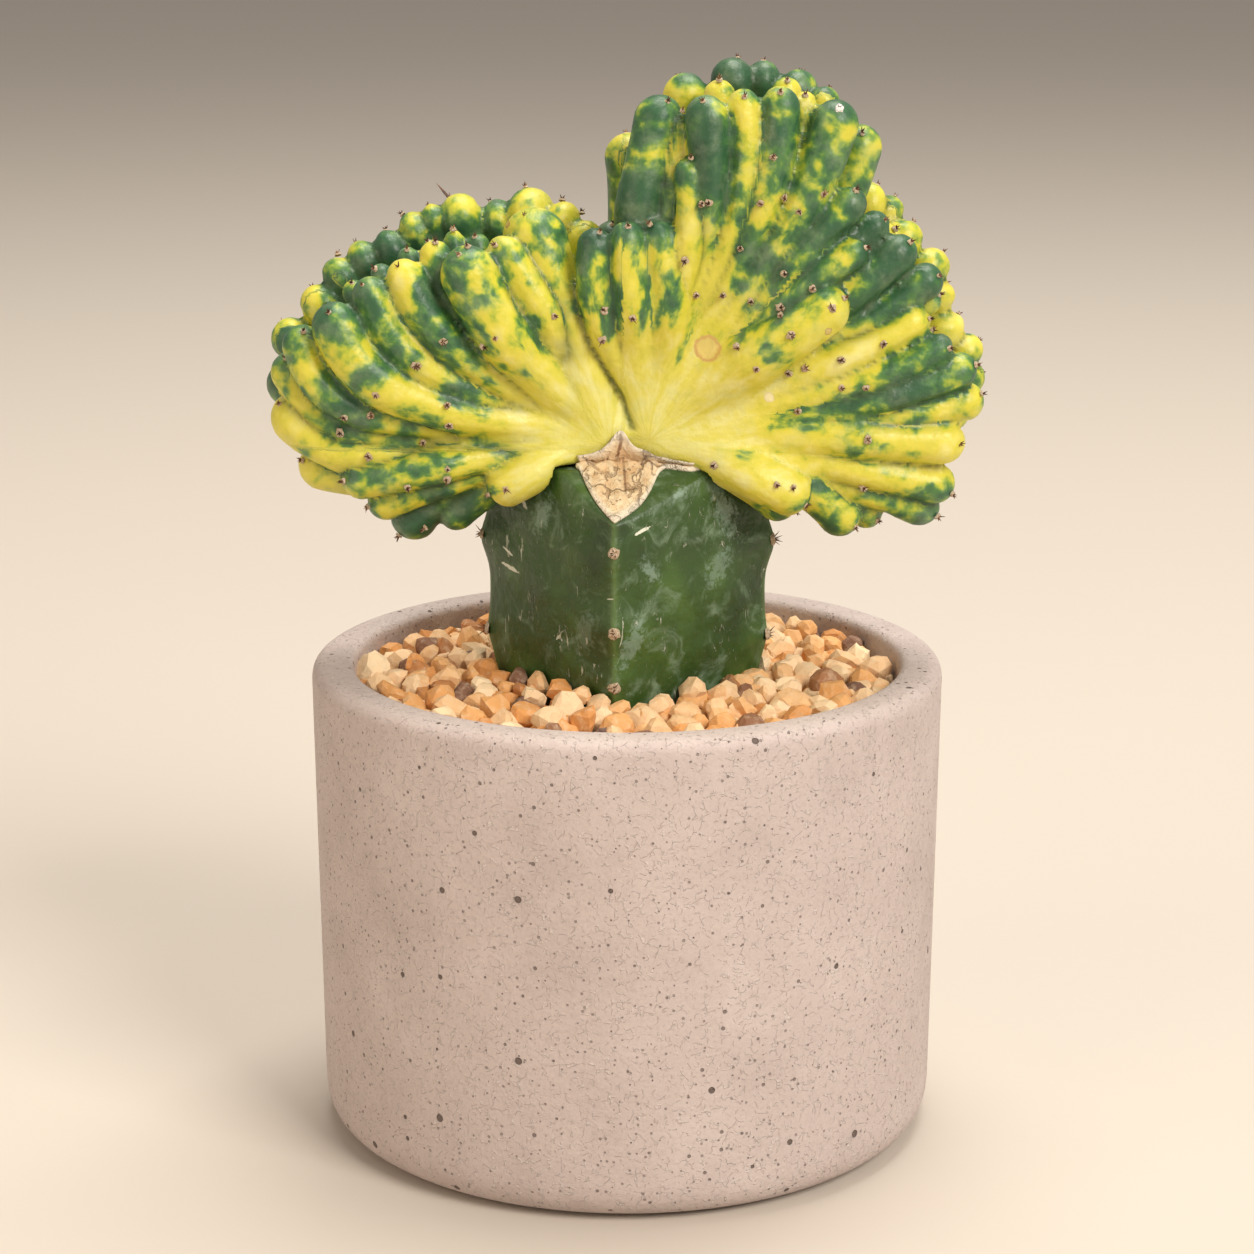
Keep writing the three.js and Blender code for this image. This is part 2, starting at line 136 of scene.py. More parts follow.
def newMaterial(name):
    # An empty material: its tree, its shader and its object coordinates in millimetres.
    made = bpy.data.materials.new(name)
    made.use_nodes = True
    tree = made.node_tree
    coordinates = addNode(tree, "TexCoord").outputs["Object"]
    scaled = addNode(tree, "VectorMath", {"operation": "SCALE", "Scale": 1000.0}, {0: coordinates})
    return made, tree, tree.nodes["Principled BSDF"], scaled.outputs[0]


def addBump(tree, shader, height, depth):
    # Relief of the given depth in millimetres.
    settings = {"Strength": 1.0, "Distance": depth / 1000}
    made = addNode(tree, "Bump", settings, {"Height": height})
    tree.links.new(made.outputs[0], shader.inputs["Normal"])


def attribute(tree, name):
    # A number stored on the mesh.
    return addNode(tree, "Attribute", {"attribute_name": name}).outputs["Fac"]


def addMark(tree, mm, base, place, ragged, soft, code):
    # A ragged oval on the front, at x and z in mm, with its half length, half width, tilt and strength.
    x, z, length, width, tilt, strength = place
    front = calc(tree, "LESS_THAN", addNode(tree, "SeparateXYZ", {}, {0: mm}).outputs[1], 0.0)
    moved = {"Location": (x, 0, z), "Rotation": (0, -math.radians(tilt), 0), "Scale": (length, 1e4, width)}
    local = addNode(tree, "Mapping", moved, {"Vector": mm})
    local.vector_type = "TEXTURE"
    away = addNode(tree, "VectorMath", {"operation": "LENGTH"}, {0: local.outputs[0]}).outputs["Value"]
    away = calc(tree, "ADD", away, ragged)
    return mixColor(tree, calc(tree, "MULTIPLY", span(tree, away, soft, 1.1, strength, 0.0), front), base, code)


def makePiece(name, points, faces, material, nodes=(), values=None, smooth=True):
    # A piece from points in millimetres, with per-point numbers, riding on the one body.
    mesh = bpy.data.meshes.new(name)
    points = np.asarray(points, float) / 1000
    if isinstance(faces, np.ndarray):
        sides = faces.shape[1]
        mesh.vertices.add(len(points))
        mesh.vertices.foreach_set("co", points.ravel())
        mesh.loops.add(faces.size)
        mesh.loops.foreach_set("vertex_index", faces.ravel().astype(np.int32))
        mesh.polygons.add(len(faces))
        mesh.polygons.foreach_set("loop_start", np.arange(0, faces.size, sides, dtype=np.int32))
        mesh.update(calc_edges=True)
    else:
        mesh.from_pydata(points.tolist(), [], faces)
    mesh.validate()
    mesh.polygons.foreach_set("use_smooth", [smooth] * len(mesh.polygons))
    for key, numbers in (values or {}).items():
        mesh.attributes.new(key, "FLOAT", "POINT").data.foreach_set("value", np.asarray(numbers, np.float32))
    mesh.materials.append(material)
    piece = bpy.data.objects.new(name, mesh)
    scene.collection.objects.link(piece)
    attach(piece, "root")
    if nodes:
        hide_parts(*nodes)
    print(name, len(mesh.vertices), "points")


def gridFaces(rows, columns, closeRows=False):
    # Quads over a grid of rows and columns whose columns close on themselves.
    i = np.arange(rows if closeRows else rows - 1)[:, None]
    j = np.arange(columns)[None, :]
    nextRow, nextColumn = (i + 1) % rows, (j + 1) % columns
    corners = [i * columns + j, i * columns + nextColumn, nextRow * columns + nextColumn, nextRow * columns + j]
    return np.stack([np.broadcast_to(c, (len(i), columns)) for c in corners], -1).reshape(-1, 4)


def roundOff(profile, radius, steps):
    # A closed profile with each corner replaced by a short curve of about the given radius.
    profile = np.array(profile, float)
    before, after = np.roll(profile, 1, 0), np.roll(profile, -1, 0)
    rows = []
    for p, a, b, r in zip(profile, before, after, radius):
        toA, toB = a - p, b - p
        reach = min(r, np.linalg.norm(toA) * 0.48, np.linalg.norm(toB) * 0.48)
        start = p + toA / np.linalg.norm(toA) * reach
        end = p + toB / np.linalg.norm(toB) * reach
        t = np.linspace(0, 1, steps)[:, None]
        rows.append((1 - t) ** 2 * start + 2 * t * (1 - t) * p + t**2 * end)
    return np.concatenate(rows)


def turned(profile, sides):
    # Points and faces of a closed profile of (radius, height) carried round the Z axis.
    angle = np.arange(sides) / sides * tau
    radius, height = profile[:, :1], profile[:, 1:]
    points = np.stack([radius * np.cos(angle), radius * np.sin(angle), height + 0 * angle], -1)
    return points.reshape(-1, 3), gridFaces(len(profile), sides, True)


# Pot: the CAD's profile with round edges, in cast grey-pink cement.
pot = {"height": 91, "rim": 60, "foot": 59, "wall": 8, "floor": 9, "drain": 5, "recess": 1.5, "ring": 38}
boreAtRim = pot["rim"] - pot["wall"]
potCorners = [
    (pot["drain"], pot["recess"]),
    (pot["ring"] - pot["recess"], pot["recess"]),
    (pot["ring"], 0),
    (pot["foot"], 0),
    (pot["rim"], pot["height"]),
    (boreAtRim, pot["height"]),
    (boreAtRim - 1, pot["floor"]),
    (pot["drain"], pot["floor"]),
]


def cementMaterial():
    # Cement: soft mottling, fine pale and dark flecks, short scratches, and sparse round air pits, bumped in
    # and darkened with painted shade.
    made, tree, shader, mm = newMaterial("cast cement")
    mottle = noise(tree, mm, 0.045, 5, 0.6)
    fine = noise(tree, mm, 1.4, 6, 0.75)
    base = ramp(tree, mottle, [(0.3, "baaba5"), (0.52, "c3b4ae"), (0.72, "cbbdb7")], True)
    base = mixColor(tree, span(tree, fine, 0.5, 0.78, 0.0, 0.5), base, "d3c5bc")
    base = mixColor(tree, span(tree, fine, 0.47, 0.3, 0.0, 0.4), base, "8f7d73")
    warped = addNode(tree, "TexNoise", {"Scale": 0.35, "Detail": 2.0}, {"Vector": mm}).outputs["Color"]
    offset = addNode(tree, "VectorMath", {"operation": "SCALE", "Scale": 5.0}, {0: warped}).outputs[0]
    bent = addNode(tree, "VectorMath", {"operation": "ADD"}, {0: mm, 1: offset}).outputs[0]
    cells = addNode(tree, "TexVoronoi", {"feature": "DISTANCE_TO_EDGE", "Scale": 0.42}, {"Vector": bent})
    worm = span(tree, cells.outputs["Distance"], 0.0, 0.05, 1.0, 0.0)
    worm = calc(tree, "MULTIPLY", worm, span(tree, noise(tree, mm, 0.9, 2), 0.46, 0.58))
    base = tint(tree, base, worm, 0.65, "d8ccc5")
    height = calc(tree, "MULTIPLY_ADD", noise(tree, mm, 0.55, 3), 0.6, calc(tree, "MULTIPLY", fine, 0.45))
    height = calc(tree, "ADD", height, calc(tree, "MULTIPLY", worm, 0.4))
    for scale, keep, size, depth in ((0.145, 0.62, 0.1, 1.0), (0.3, 0.5, 0.115, 0.8), (0.75, 0.5, 0.2, 0.6)):
        spots = addNode(tree, "TexVoronoi", {"Scale": scale}, {"Vector": mm})
        chance = addNode(tree, "SeparateColor", {}, {0: spots.outputs["Color"]})
        radius = calc(tree, "MULTIPLY_ADD", chance.outputs[1], size * 0.5, size * 0.6)
        inside = span(tree, calc(tree, "DIVIDE", spots.outputs["Distance"], radius), 0.8, 1.05, 1.0, 0.0)
        pit = calc(tree, "MULTIPLY", inside, calc(tree, "LESS_THAN", chance.outputs[0], keep))
        # Painted shade: each pit is darkened towards dark brown, besides its bump.
        base = mixColor(tree, calc(tree, "MULTIPLY", pit, depth * 0.85), base, "4c3a30")
        height = calc(tree, "SUBTRACT", height, calc(tree, "MULTIPLY", pit, depth * 2))
    tree.links.new(base, shader.inputs["Base Color"])
    shader.inputs["Roughness"].default_value = 0.78
    addBump(tree, shader, height, 0.34)
    return made


cement = cementMaterial()
corners = roundOff(potCorners, [0.8, 0.6, 0.6, 8, 3.2, 2, 5, 0.8], 9)
potPoints, potFaces = turned(corners, 220)
makePiece("potBody", potPoints, potFaces, cement, ["pot"])


# Soil: the plug under the gravel, seen only where stones leave a gap.
def soilMaterial():
    # Potting soil: dark crumbs with paler fibres.
    made, tree, shader, mm = newMaterial("potting soil")
    crumbs = noise(tree, mm, 0.8, 6, 0.7)
    base = ramp(tree, crumbs, [(0.35, "1f150e"), (0.6, "47321f"), (0.8, "7a5b3c")])
    tree.links.new(base, shader.inputs["Base Color"])
    shader.inputs["Roughness"].default_value = 0.95
    addBump(tree, shader, crumbs, 1.2)
    return made


soilLook = soilMaterial()
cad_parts["soil"].data.materials.clear()
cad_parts["soil"].data.materials.append(soilLook)


# Stock: a square column seen edge on, with swellings at its areoles and cut shoulders.
stock = {
    "ridge": 26.4,
    "face": 20.6,
    "turn": math.radians(-5),
    "top": 130,
    "bottom": 54,
    "bevelStart": 14.9,
    "bevelSlope": {"front": 0.75, "side": 0.3},
    "bevelTurn": math.radians(14),
    "swell": 1.3,
    "swellReach": 4.2,
    "sharp": 2.2,
    "slimBelow": 112,
    "stubBelow": 76,
    "front": (91.5, 102, 117),
    "side": (95.5, 114),
    "foot": 121,
}


def smoothstep(x, low, high):
    t = np.clip((x - low) / (high - low), 0, 1)
    return t * t * (3 - 2 * t)


def stockRadius(angle, z):
    # Face half width rising to the ridge by a power, with a swelling at each areole and a slimmer stub below.
    turn = ((angle - stock["turn"]) / (tau / 4)) % 1
    ridge = (1 - np.abs(((turn + 1.5) % 1) - 0.5) * 2) ** stock["sharp"]
    side = np.abs(np.cos(angle - stock["turn"])) > 0.7
    onSide, onFront = (
        sum(np.exp(-(((z - h) / stock["swellReach"]) ** 2)) for h in stock[row]) for row in ("side", "front")
    )
    swell = np.where(side, onSide, onFront)
    low, high = stock["stubBelow"], stock["slimBelow"]
    waist = np.minimum(0.93 + 0.07 * smoothstep(z, low, high), 1) * (1 - 0.015 * np.clip((z - high) / 18, 0, 1))
    stub = 0.62 + 0.38 * smoothstep(z, stock["bottom"], low)
    section = stock["face"] + (stock["ridge"] - stock["face"]) * ridge
    return section * waist * stub + ridge * stock["swell"] * swell


def shoulderHeight(radius, angle):
    # The seat's height, cut by one slanting plane towards each ridge, steeper at the front and the back.
    quarters = (angle - stock["turn"] - stock["bevelTurn"]) / (tau / 4)
    fromPlane = ((quarters + 0.5) % 1 - 0.5) * (tau / 4)
    odd = np.round(quarters) % 2 > 0.5
    slope = np.where(odd, stock["bevelSlope"]["front"], stock["bevelSlope"]["side"])
    return stock["top"] - slope * np.maximum(0, radius * np.cos(fromPlane) - stock["bevelStart"])


# Marks on the stock's front: x, z, half length and half width in mm, tilt in degrees, strength.
stockScars = [
    (2.9, 120.4, 1.7, 0.32, 24, 1.0),
    (-22.0, 109.2, 1.8, 0.4, -18, 0.9),
    (-22.3, 112.2, 1.3, 0.26, -35, 0.9),
    (-19.2, 122.3, 1.2, 0.36, -60, 0.7),
    (-3.0, 108.1, 0.7, 0.12, 10, 0.7),
]
stockBlooms = [
    (18.0, 121.5, 5.4, 2.0, -72, 0.6),
    (17.0, 111.0, 4.5, 2.2, 60, 0.4),
    (4.4, 112.4, 3.4, 1.3, -55, 0.55),
    (0.9, 99.5, 5.2, 2.0, 70, 0.5),
    (9.5, 126.0, 2.0, 0.8, 35, 0.6),
    (-15.5, 121.0, 4.6, 1.5, 70, 0.45),
    (-7.8, 100.5, 5.0, 2.0, 80, 0.3),
]


def stockMaterial():
    # Stock skin: dark green, blotched with grey bloom, a painted highlight along the ridges, with thin pale
    # scars.
    made, tree, shader, mm = newMaterial("stock skin")
    broad = noise(tree, mm, 0.07, 3)
    base = ramp(tree, broad, [(0.3, "253c17"), (0.5, "324e1d"), (0.7, "456327")], True)
    bloom = span(tree, noise(tree, mm, 0.16, 7, 0.64, 0.8), 0.5, 0.72, 0.0, 0.7)
    base = mixColor(tree, bloom, base, "7d9378")
    flat = addNode(tree, "Mapping", {"Scale": (1.0, 1.0, 0.35)}, {"Vector": mm}).outputs[0]
    scar = span(tree, noise(tree, flat, 0.5, 5, 0.7, 1.4), 0.6, 0.66)
    scar = calc(tree, "MULTIPLY", scar, span(tree, noise(tree, mm, 0.13, 2), 0.48, 0.58))
    base = tint(tree, base, scar, 0.85, "ccd0ba")
    # Painted highlight: a paler green band along each ridge.
    base = tint(tree, base, attribute(tree, "ridge"), 0.35, "7f9a58")
    base = mixColor(tree, span(tree, noise(tree, mm, 1.1, 4, 0.7), 0.66, 0.74, 0.0, 0.5), base, "93a583")
    edge = calc(tree, "SUBTRACT", noise(tree, mm, 0.9, 4, 0.65, 0.6), 0.5)
    sharp, loose = calc(tree, "MULTIPLY", edge, 1.6), calc(tree, "MULTIPLY", edge, 3.2)
    for place in stockScars:
        base = addMark(tree, mm, base, place, sharp, 0.8, "e2e3cf")
    for place in stockBlooms:
        base = addMark(tree, mm, base, place, loose, 0.3, "8fa796")
    tree.links.new(base, shader.inputs["Base Color"])
    rough = calc(tree, "MULTIPLY_ADD", bloom, 0.4, 0.42)
    tree.links.new(rough, shader.inputs["Roughness"])
    height = calc(tree, "MULTIPLY_ADD", scar, 0.3, noise(tree, mm, 0.35, 4))
    addBump(tree, shader, height, 0.5)
    return made


stockAngles = np.arange(240) / 240 * tau + stock["turn"]
stockHeights = np.concatenate([np.linspace(stock["bottom"], 82, 14), np.linspace(83, 122, 60)])
edge = stockRadius(stockAngles, stock["foot"])
sideRadius = stockRadius(stockAngles[None, :], np.minimum(stockHeights, stock["foot"])[:, None])
sideHeight = np.minimum(stockHeights[:, None], shoulderHeight(edge, stockAngles)[None, :] - 0.5)
topShare = np.concatenate([np.linspace(0.995, 0.55, 24), np.linspace(0.5, 0.02, 6)])[:, None]
stockR = np.concatenate([sideRadius, edge * topShare])
stockZ = np.concatenate([sideHeight, shoulderHeight(edge * topShare, stockAngles)])
stockR[0] *= 0.02
sag = 0.22 * np.sin(stockAngles * 7 + stockZ * 0.35) * np.sin(stockAngles * 3 - stockZ * 0.21)
stockR[1:-30] += sag[1:-30]
stockPoints = np.stack([stockR * np.cos(stockAngles), stockR * np.sin(stockAngles), stockZ], -1).reshape(-1, 3)
# A narrow band on each ridge, carried as the ridge number for the painted highlight.
ridgeTurn = ((stockAngles - stock["turn"]) / (tau / 4)) % 1
ridgeHighlightBand = np.exp(-((np.minimum(ridgeTurn, 1 - ridgeTurn) * 4 / 0.06) ** 2))
ridgeHighlightShare = np.broadcast_to(ridgeHighlightBand, stockR.shape).ravel()
stockLook = stockMaterial()
stockFaces = gridFaces(len(stockR), len(stockAngles))
makePiece("stockSkin", stockPoints, stockFaces, stockLook, ["rootstock"], {"ridge": ridgeHighlightShare})


# Crest: fingers that spread from two hubs and fuse into a fan.
# A row is the tip's x, y and z in mm, the half width, the heading at the root and at the tip
# in degrees, and how green the finger is, from 0 to 1. Negative y is the front.
leftFingers = [
    [-18.5, -8, 176.5, 6.0, 113, 107, 0.2],
    [-24, -13, 172, 4.4, 111, 126, 0.35],
    [-27.5, -15, 170, 3.2, 118, 120, 0.4],
    [-30, -17, 171, 5.4, 133, 108, 0.35],
    [-35, -13, 171.5, 3.2, 138, 96, 0.5],
    [-41, -16, 168.5, 3.9, 150, 108, 0.5],
    [-46.5, -16, 165.5, 4.0, 156, 98, 0.5],
    [-53, -17, 161, 4.9, 164, 97, 0.38],
    [-58.5, -14, 156.5, 4.0, 168, 84, 0.5],
    [-62, -10, 151, 4.0, 173, 98, 0.45],
    [-63, -8, 143, 5.4, 178, 118, 0.15],
    [-60.5, -6, 131, 4.8, 183, 158, 0.3],
    [-52.5, -12, 127.5, 4.2, 184, 190, 0.5],
    [-48, -8, 122, 4.2, 186, 204, 0.6],
    [-43, -3, 116.5, 4.6, 188, 222, 0.6],
    [-35, -5, 118.5, 4.2, 190, 222, 0.55],
    [-25, -12, 125.5, 4.0, 190, 202, 0.12],
    [-12.5, 3, 176.5, 4.2, 108, 92, 0.2],
    [-8, 1, 173.5, 4.0, 102, 80, 0.2],
    [-19, 5, 178.5, 5.2, 114, 100, 0.2],
    [-25, 6, 176.5, 4.2, 120, 108, 0.35],
    [-32.5, 5, 177.5, 4.6, 128, 104, 0.45],
    [-37, 5, 176, 3.6, 134, 108, 0.6],
    [-40.5, 5, 174.5, 4.1, 141, 112, 0.65],
    [-45.5, 4, 171, 4.2, 147, 112, 0.6],
    [-50.5, 4, 169, 4.1, 153, 112, 0.65],
    [-55, 3, 166, 4.1, 158, 118, 0.65],
    [-59, 2, 161, 4.4, 164, 122, 0.5],
    [-64.5, 2, 154.5, 4.2, 169, 120, 0.6],
    [-65.8, 3, 146, 4.3, 175, 122, 0.65],
    [-63, 7, 137, 4.6, 181, 150, 0.4],
    [-56, 9, 128, 4.4, 185, 185, 0.3],
    [-46, 9, 121, 4.4, 188, 208, 0.6],
    [-33, 10, 122, 4.4, 190, 205, 0.35],
    [-28, -6, 172, 2.6, 122, 100, 0.5],
    [-32, -6, 172.6, 2.5, 128, 100, 0.3],
    [-36, -6, 171, 2.6, 134, 104, 0.6],
    [-40.5, -6, 169.5, 2.7, 141, 108, 0.5],
    [-45.5, -6, 166.5, 2.6, 149, 108, 0.6],
    [-50.5, -6, 163.5, 2.6, 156, 108, 0.6],
    [-55.5, -6, 158.5, 2.6, 163, 110, 0.5],
    [-59.5, -5, 152.5, 2.6, 169, 114, 0.6],
]
rightFingers = [
    [-2.5, -4, 174, 3.4, 104, 88, 0.8],
    [-4.7, -15, 174, 3.5, 112, 74, 0.65],
    [0, -16, 175.5, 3.7, 97, 91, 0.35],
    [5, -15, 175.5, 3.6, 77, 106, 0.3],
    [7, -8, 197, 4.6, 104, 76, 0.8],
    [9.5, -10, 194.5, 2.7, 92, 88, 0.3],
    [14, -13, 197.5, 4.2, 82, 97, 0.9],
    [11, -15, 187, 3.3, 88, 100, 0.25],
    [20.3, -12, 198.5, 3.7, 72, 103, 0.45],
    [27.3, -12, 199, 4.0, 68, 91, 0.7],
    [32, -9, 198, 2.7, 64, 86, 0.2],
    [38, -11, 196.5, 4.4, 59, 78, 0.7],
    [42.8, -3, 191.5, 4.2, 53, 82, 0.6],
    [42, -13, 180.5, 3.5, 47, 45, 0.8],
    [47, -10, 175.5, 3.4, 43, 38, 0.8],
    [43, -15, 171, 3.2, 39, 27, 0.8],
    [51.5, -11, 171.5, 3.9, 37, 42, 0.85],
    [56.5, -9, 166, 3.6, 32, 43, 0.8],
    [39, -16, 163, 5.0, 42, 40, 0.3],
    [54.7, -11, 158.5, 3.9, 28, 32, 0.2],
    [56.3, -8, 154.5, 3.2, 24, 30, 0.4],
    [59.2, -12, 153, 3.5, 21, 29, 0.7],
    [63.5, -11, 149, 3.8, 15, 24, 0.75],
    [65.2, -9, 143, 4.0, 10, 18, 0.55],
    [62, -10, 134.5, 4.7, 5, -3, 0.3],
    [60.4, -8, 125.2, 4.4, -3, -14, 0.4],
    [58.2, -6, 120.8, 4.2, -7, -20, 0.6],
    [47, -5, 118.5, 4.0, -9, -45, 0.6],
    [42, -8, 117.5, 4.2, -12, -55, 0.55],
    [33, -13, 124, 4.1, -14, -24, 0.1],
    [30.5, -6, 120.5, 3.8, -16, -42, 0.6],
    [0, 3, 189, 4.3, 104, 96, 0.6],
    [10.5, 4, 200, 4.2, 84, 98, 0.4],
    [19.5, 6, 202.7, 4.6, 74, 96, 0.85],
    [25, 7, 202.2, 4.2, 68, 88, 0.85],
    [31.8, 5, 200.6, 4.3, 62, 84, 0.85],
    [36.5, 2, 198, 3.2, 57, 78, 0.5],
    [46.3, 0, 180, 4.1, 48, 62, 0.4],
    [50, 2, 177.5, 3.7, 44, 52, 0.5],
    [53.2, -1, 173, 4.2, 38, 50, 0.15],
    [58.5, 0, 167.5, 4.1, 33, 50, 0.12],
    [60, -1, 162, 4.0, 29, 38, 0.3],
    [62.2, -1, 155.5, 4.3, 23, 36, 0.08],
    [65.9, 0, 151, 3.9, 18, 32, 0.5],
    [66.6, 1, 146, 3.9, 14, 26, 0.5],
    [64.5, 4, 138, 4.4, 7, 8, 0.4],
    [61, 7, 130, 4.4, 1, -8, 0.5],
    [54, 8, 122, 4.4, -6, -28, 0.6],
    [40, 9, 121, 4.3, -12, -32, 0.35],
    [16.5, -3.5, 199.5, 2.8, 76, 96, 0.5],
    [29, -3.5, 200, 2.8, 64, 88, 0.6],
    [39, -5, 192.5, 2.7, 56, 74, 0.6],
    [48.5, -5, 173.5, 2.7, 42, 46, 0.3],
    [57.5, -4.5, 161, 2.7, 28, 34, 0.3],
]
leftFlesh = [
    [-17, -2, 168, 7.5, 112, 105, 0.4],
    [-28, -4, 165, 8, 125, 112, 0.4],
    [-40, -5, 160, 8, 143, 115, 0.5],
    [-50, -5, 153, 8, 158, 118, 0.5],
    [-56, -3, 144, 8, 170, 135, 0.4],
    [-54, 0, 134, 8, 180, 165, 0.4],
    [-43, 1, 126, 7, 186, 195, 0.4],
    [-24, 0, 131, 6, 188, 192, 0.2],
]
rightFlesh = [
    [-1, -5, 167, 6.5, 100, 88, 0.4],
    [7, -2, 187, 6.5, 94, 84, 0.6],
    [17, -2, 190, 7.5, 78, 94, 0.6],
    [28, -2, 189, 7.5, 66, 84, 0.6],
    [37, -3, 181, 7.5, 55, 64, 0.6],
    [44, -4, 168, 7.5, 43, 40, 0.5],
    [50, -4, 157, 7.5, 31, 34, 0.4],
    [56, -4, 146, 7.5, 18, 20, 0.5],
    [55, -1, 135, 7.5, 5, -2, 0.4],
    [47, 0, 126, 7, -7, -22, 0.5],
    [26, 0, 130, 6, -12, -14, 0.2],
]
crest = {
    "voxel": 0.72,
    "samples": 18,
    "base": 8.5,
    "rootReach": 3,
    "pull": 0.38,
    "rootRaise": 2.5,
    "belly": 6,
    "root": 0.55,
    "deep": 1.06,
    "areoleStep": 16,
    "soft": 0.95,
    "greener": {"left": 0.14, "right": 0.02},
    "low": (-72, -30, 108),
    "high": (72, 24, 207),
}
hubs = {"left": np.array([-3.0, 0, 134]), "right": np.array([4.0, 0, 135])}


def headingVector(degrees):
    a = math.radians(degrees)
    return np.array([math.cos(a), 0, math.sin(a)])


def fingerPath(row, hub, depth):
    # A cubic curve that leaves the hub on the root heading, swells outward, and arrives on the tip heading.
    side = np.sign(depth)
    root = hub + headingVector(row[4]) * crest["rootReach"] + np.array([0, depth, 0])
    tip = np.array(row[:3], float)
    reach = np.linalg.norm(root - tip) * crest["pull"]
    nearRoot = root + headingVector(row[4]) * reach
    nearRoot[1] = root[1] + side * crest["rootRaise"]
    nearTip = tip - headingVector(row[5]) * reach
    nearTip[1] = tip[1] + side * crest["belly"]
    t = np.linspace(0, 1, 80)[:, None]
    path = (1 - t) ** 3 * root + 3 * t * (1 - t) ** 2 * nearRoot + 3 * t * t * (1 - t) * nearTip + t**3 * tip
    step = np.linalg.norm(np.diff(path, axis=0), axis=1)
    length = np.concatenate([[0], np.cumsum(step)])
    share = np.linspace(0, 1, crest["samples"])
    stop = length[-1] - row[3]
    return np.stack([np.interp(share * stop, length, path[:, k]) for k in range(3)], -1), stop


fingers = []
draw = np.random.default_rng(31)
for lobe, visible, flesh in (("left", leftFingers, leftFlesh), ("right", rightFingers, rightFlesh)):
    for row in visible + flesh:
        inner = row in flesh
        back = row[1] > -3
        depth = 0.001 if inner else (crest["base"] if back else -crest["base"])
        path, length = fingerPath(row, hubs[lobe], depth)
        share = np.linspace(0, 1, crest["samples"])
        slim = crest["root"] + 0.22 * np.clip((row[3] - 4.2) / 0.8, -1, 1)
        width = row[3] * (slim + (1 - slim) * smoothstep(share, 0, 0.8))
        step = crest["areoleStep"] * (0.85 + 0.3 * draw.random())
        stops = np.arange(length + row[3] * 0.35, length * 0.42, -step)
        for at in stops:
            width += 0.07 * row[3] * np.exp(-(((share * length - at) / 3.0) ** 2))
        finger = {"lobe": lobe, "inner": inner, "side": 1 if back else -1, "girth": row[3], "areoles": stops}
        finger |= {"path": path, "length": length, "width": width, "green": row[6] + crest["greener"][lobe]}
        fingers.append(finger)


def fingerDistance(finger, points):
    # Distance from points to a finger's skin, and the share of its length at the nearest place.
    path, width = finger["path"].astype(np.float32), finger["width"].astype(np.float32)
    best = np.full(len(points), 1e3, np.float32)
    share = np.zeros(len(points), np.float32)
    flat = np.array([1, 1 / crest["deep"], 1], np.float32)
    points = points.astype(np.float32) * flat
    for k in range(len(path) - 1):
        a, b = path[k] * flat, path[k + 1] * flat
        ab = b - a
        offset = points - a
        t = np.clip((offset @ ab) / (ab @ ab), 0, 1)
        offset -= t[:, None] * ab
        away = np.sqrt(np.einsum("ij,ij->i", offset, offset))
        gap = away - (width[k] + (width[k + 1] - width[k]) * t)
        nearer = gap < best
        best = np.where(nearer, gap, best)
        share = np.where(nearer, (k + t) / (len(path) - 1), share)
    return best, share


def blendWidth(points, lobe):
    # Fingers fuse over a few millimetres by the hub and stay creased towards their tips.
    away = np.linalg.norm(points - hubs[lobe], axis=-1)
    start, stop, most = (8, 34, 2.0) if lobe == "left" else (14, 50, 2.6)
    return crest["soft"] + most * (1 - smoothstep(away, start, stop))


def crestField():
    # The fan's skin as a grid of distances: fingers joined by a smooth minimum, then cut by the stock's seat.
    voxel = crest["voxel"]
    low, high = np.array(crest["low"]), np.array(crest["high"])
    axes = [np.arange(low[k], high[k] + voxel, voxel) for k in range(3)]
    fields = {lobe: np.full([len(a) for a in axes], 6.0, np.float32) for lobe in hubs}
    neck = {"path": np.array([[-9.0, 0, 134], [9.0, 0, 134]]), "width": np.array([11.5, 11.5])}
    for finger in fingers + [{**neck, "lobe": lobe} for lobe in hubs]:
        field = fields[finger["lobe"]]
        reach = finger["width"].max() + 4.5
        start = [int(max(0, (finger["path"][:, k].min() - reach - low[k]) // voxel)) for k in range(3)]
        stop = [int((finger["path"][:, k].max() + reach - low[k]) // voxel + 2) for k in range(3)]
        part = tuple(slice(a, b) for a, b in zip(start, stop))
        mesh = np.stack(np.meshgrid(*[axes[k][part[k]] for k in range(3)], indexing="ij"), -1)
        points = mesh.reshape(-1, 3).astype(np.float32)
        found, _ = fingerDistance(finger, points)
        found = found.reshape(mesh.shape[:3])
        soft = blendWidth(points, finger["lobe"]).reshape(mesh.shape[:3])
        old = field[part]
        h = np.maximum(soft - np.abs(old - found), 0) / soft
        field[part] = np.minimum(old, found) - h * h * soft / 4
    h = np.maximum(crest["soft"] - np.abs(fields["left"] - fields["right"]), 0) / crest["soft"]
    field = np.minimum(fields["left"], fields["right"]) - h * h * crest["soft"] / 4
    grid = np.stack(np.meshgrid(*axes, indexing="ij"), -1)
    away = np.hypot(grid[..., 0], grid[..., 1])
    angle = np.arctan2(grid[..., 1], grid[..., 0])
    under = shoulderHeight(np.minimum(away, stockRadius(angle, stock["foot"])), angle) + 0.5
    inStock = np.maximum(grid[..., 2] - under, away - stockRadius(angle, stock["foot"]) - 0.5)
    field = np.maximum(field, -inStock)
    return field.astype(np.float32), low, voxel


field, fieldLow, voxel = crestField()
print("crest field", field.shape)
volume = openvdb.FloatGrid(6.0)
volume.copyFromArray(field)
crestPoints, crestFaces = volume.convertToQuads(0.0)
crestPoints = crestPoints * voxel + fieldLow


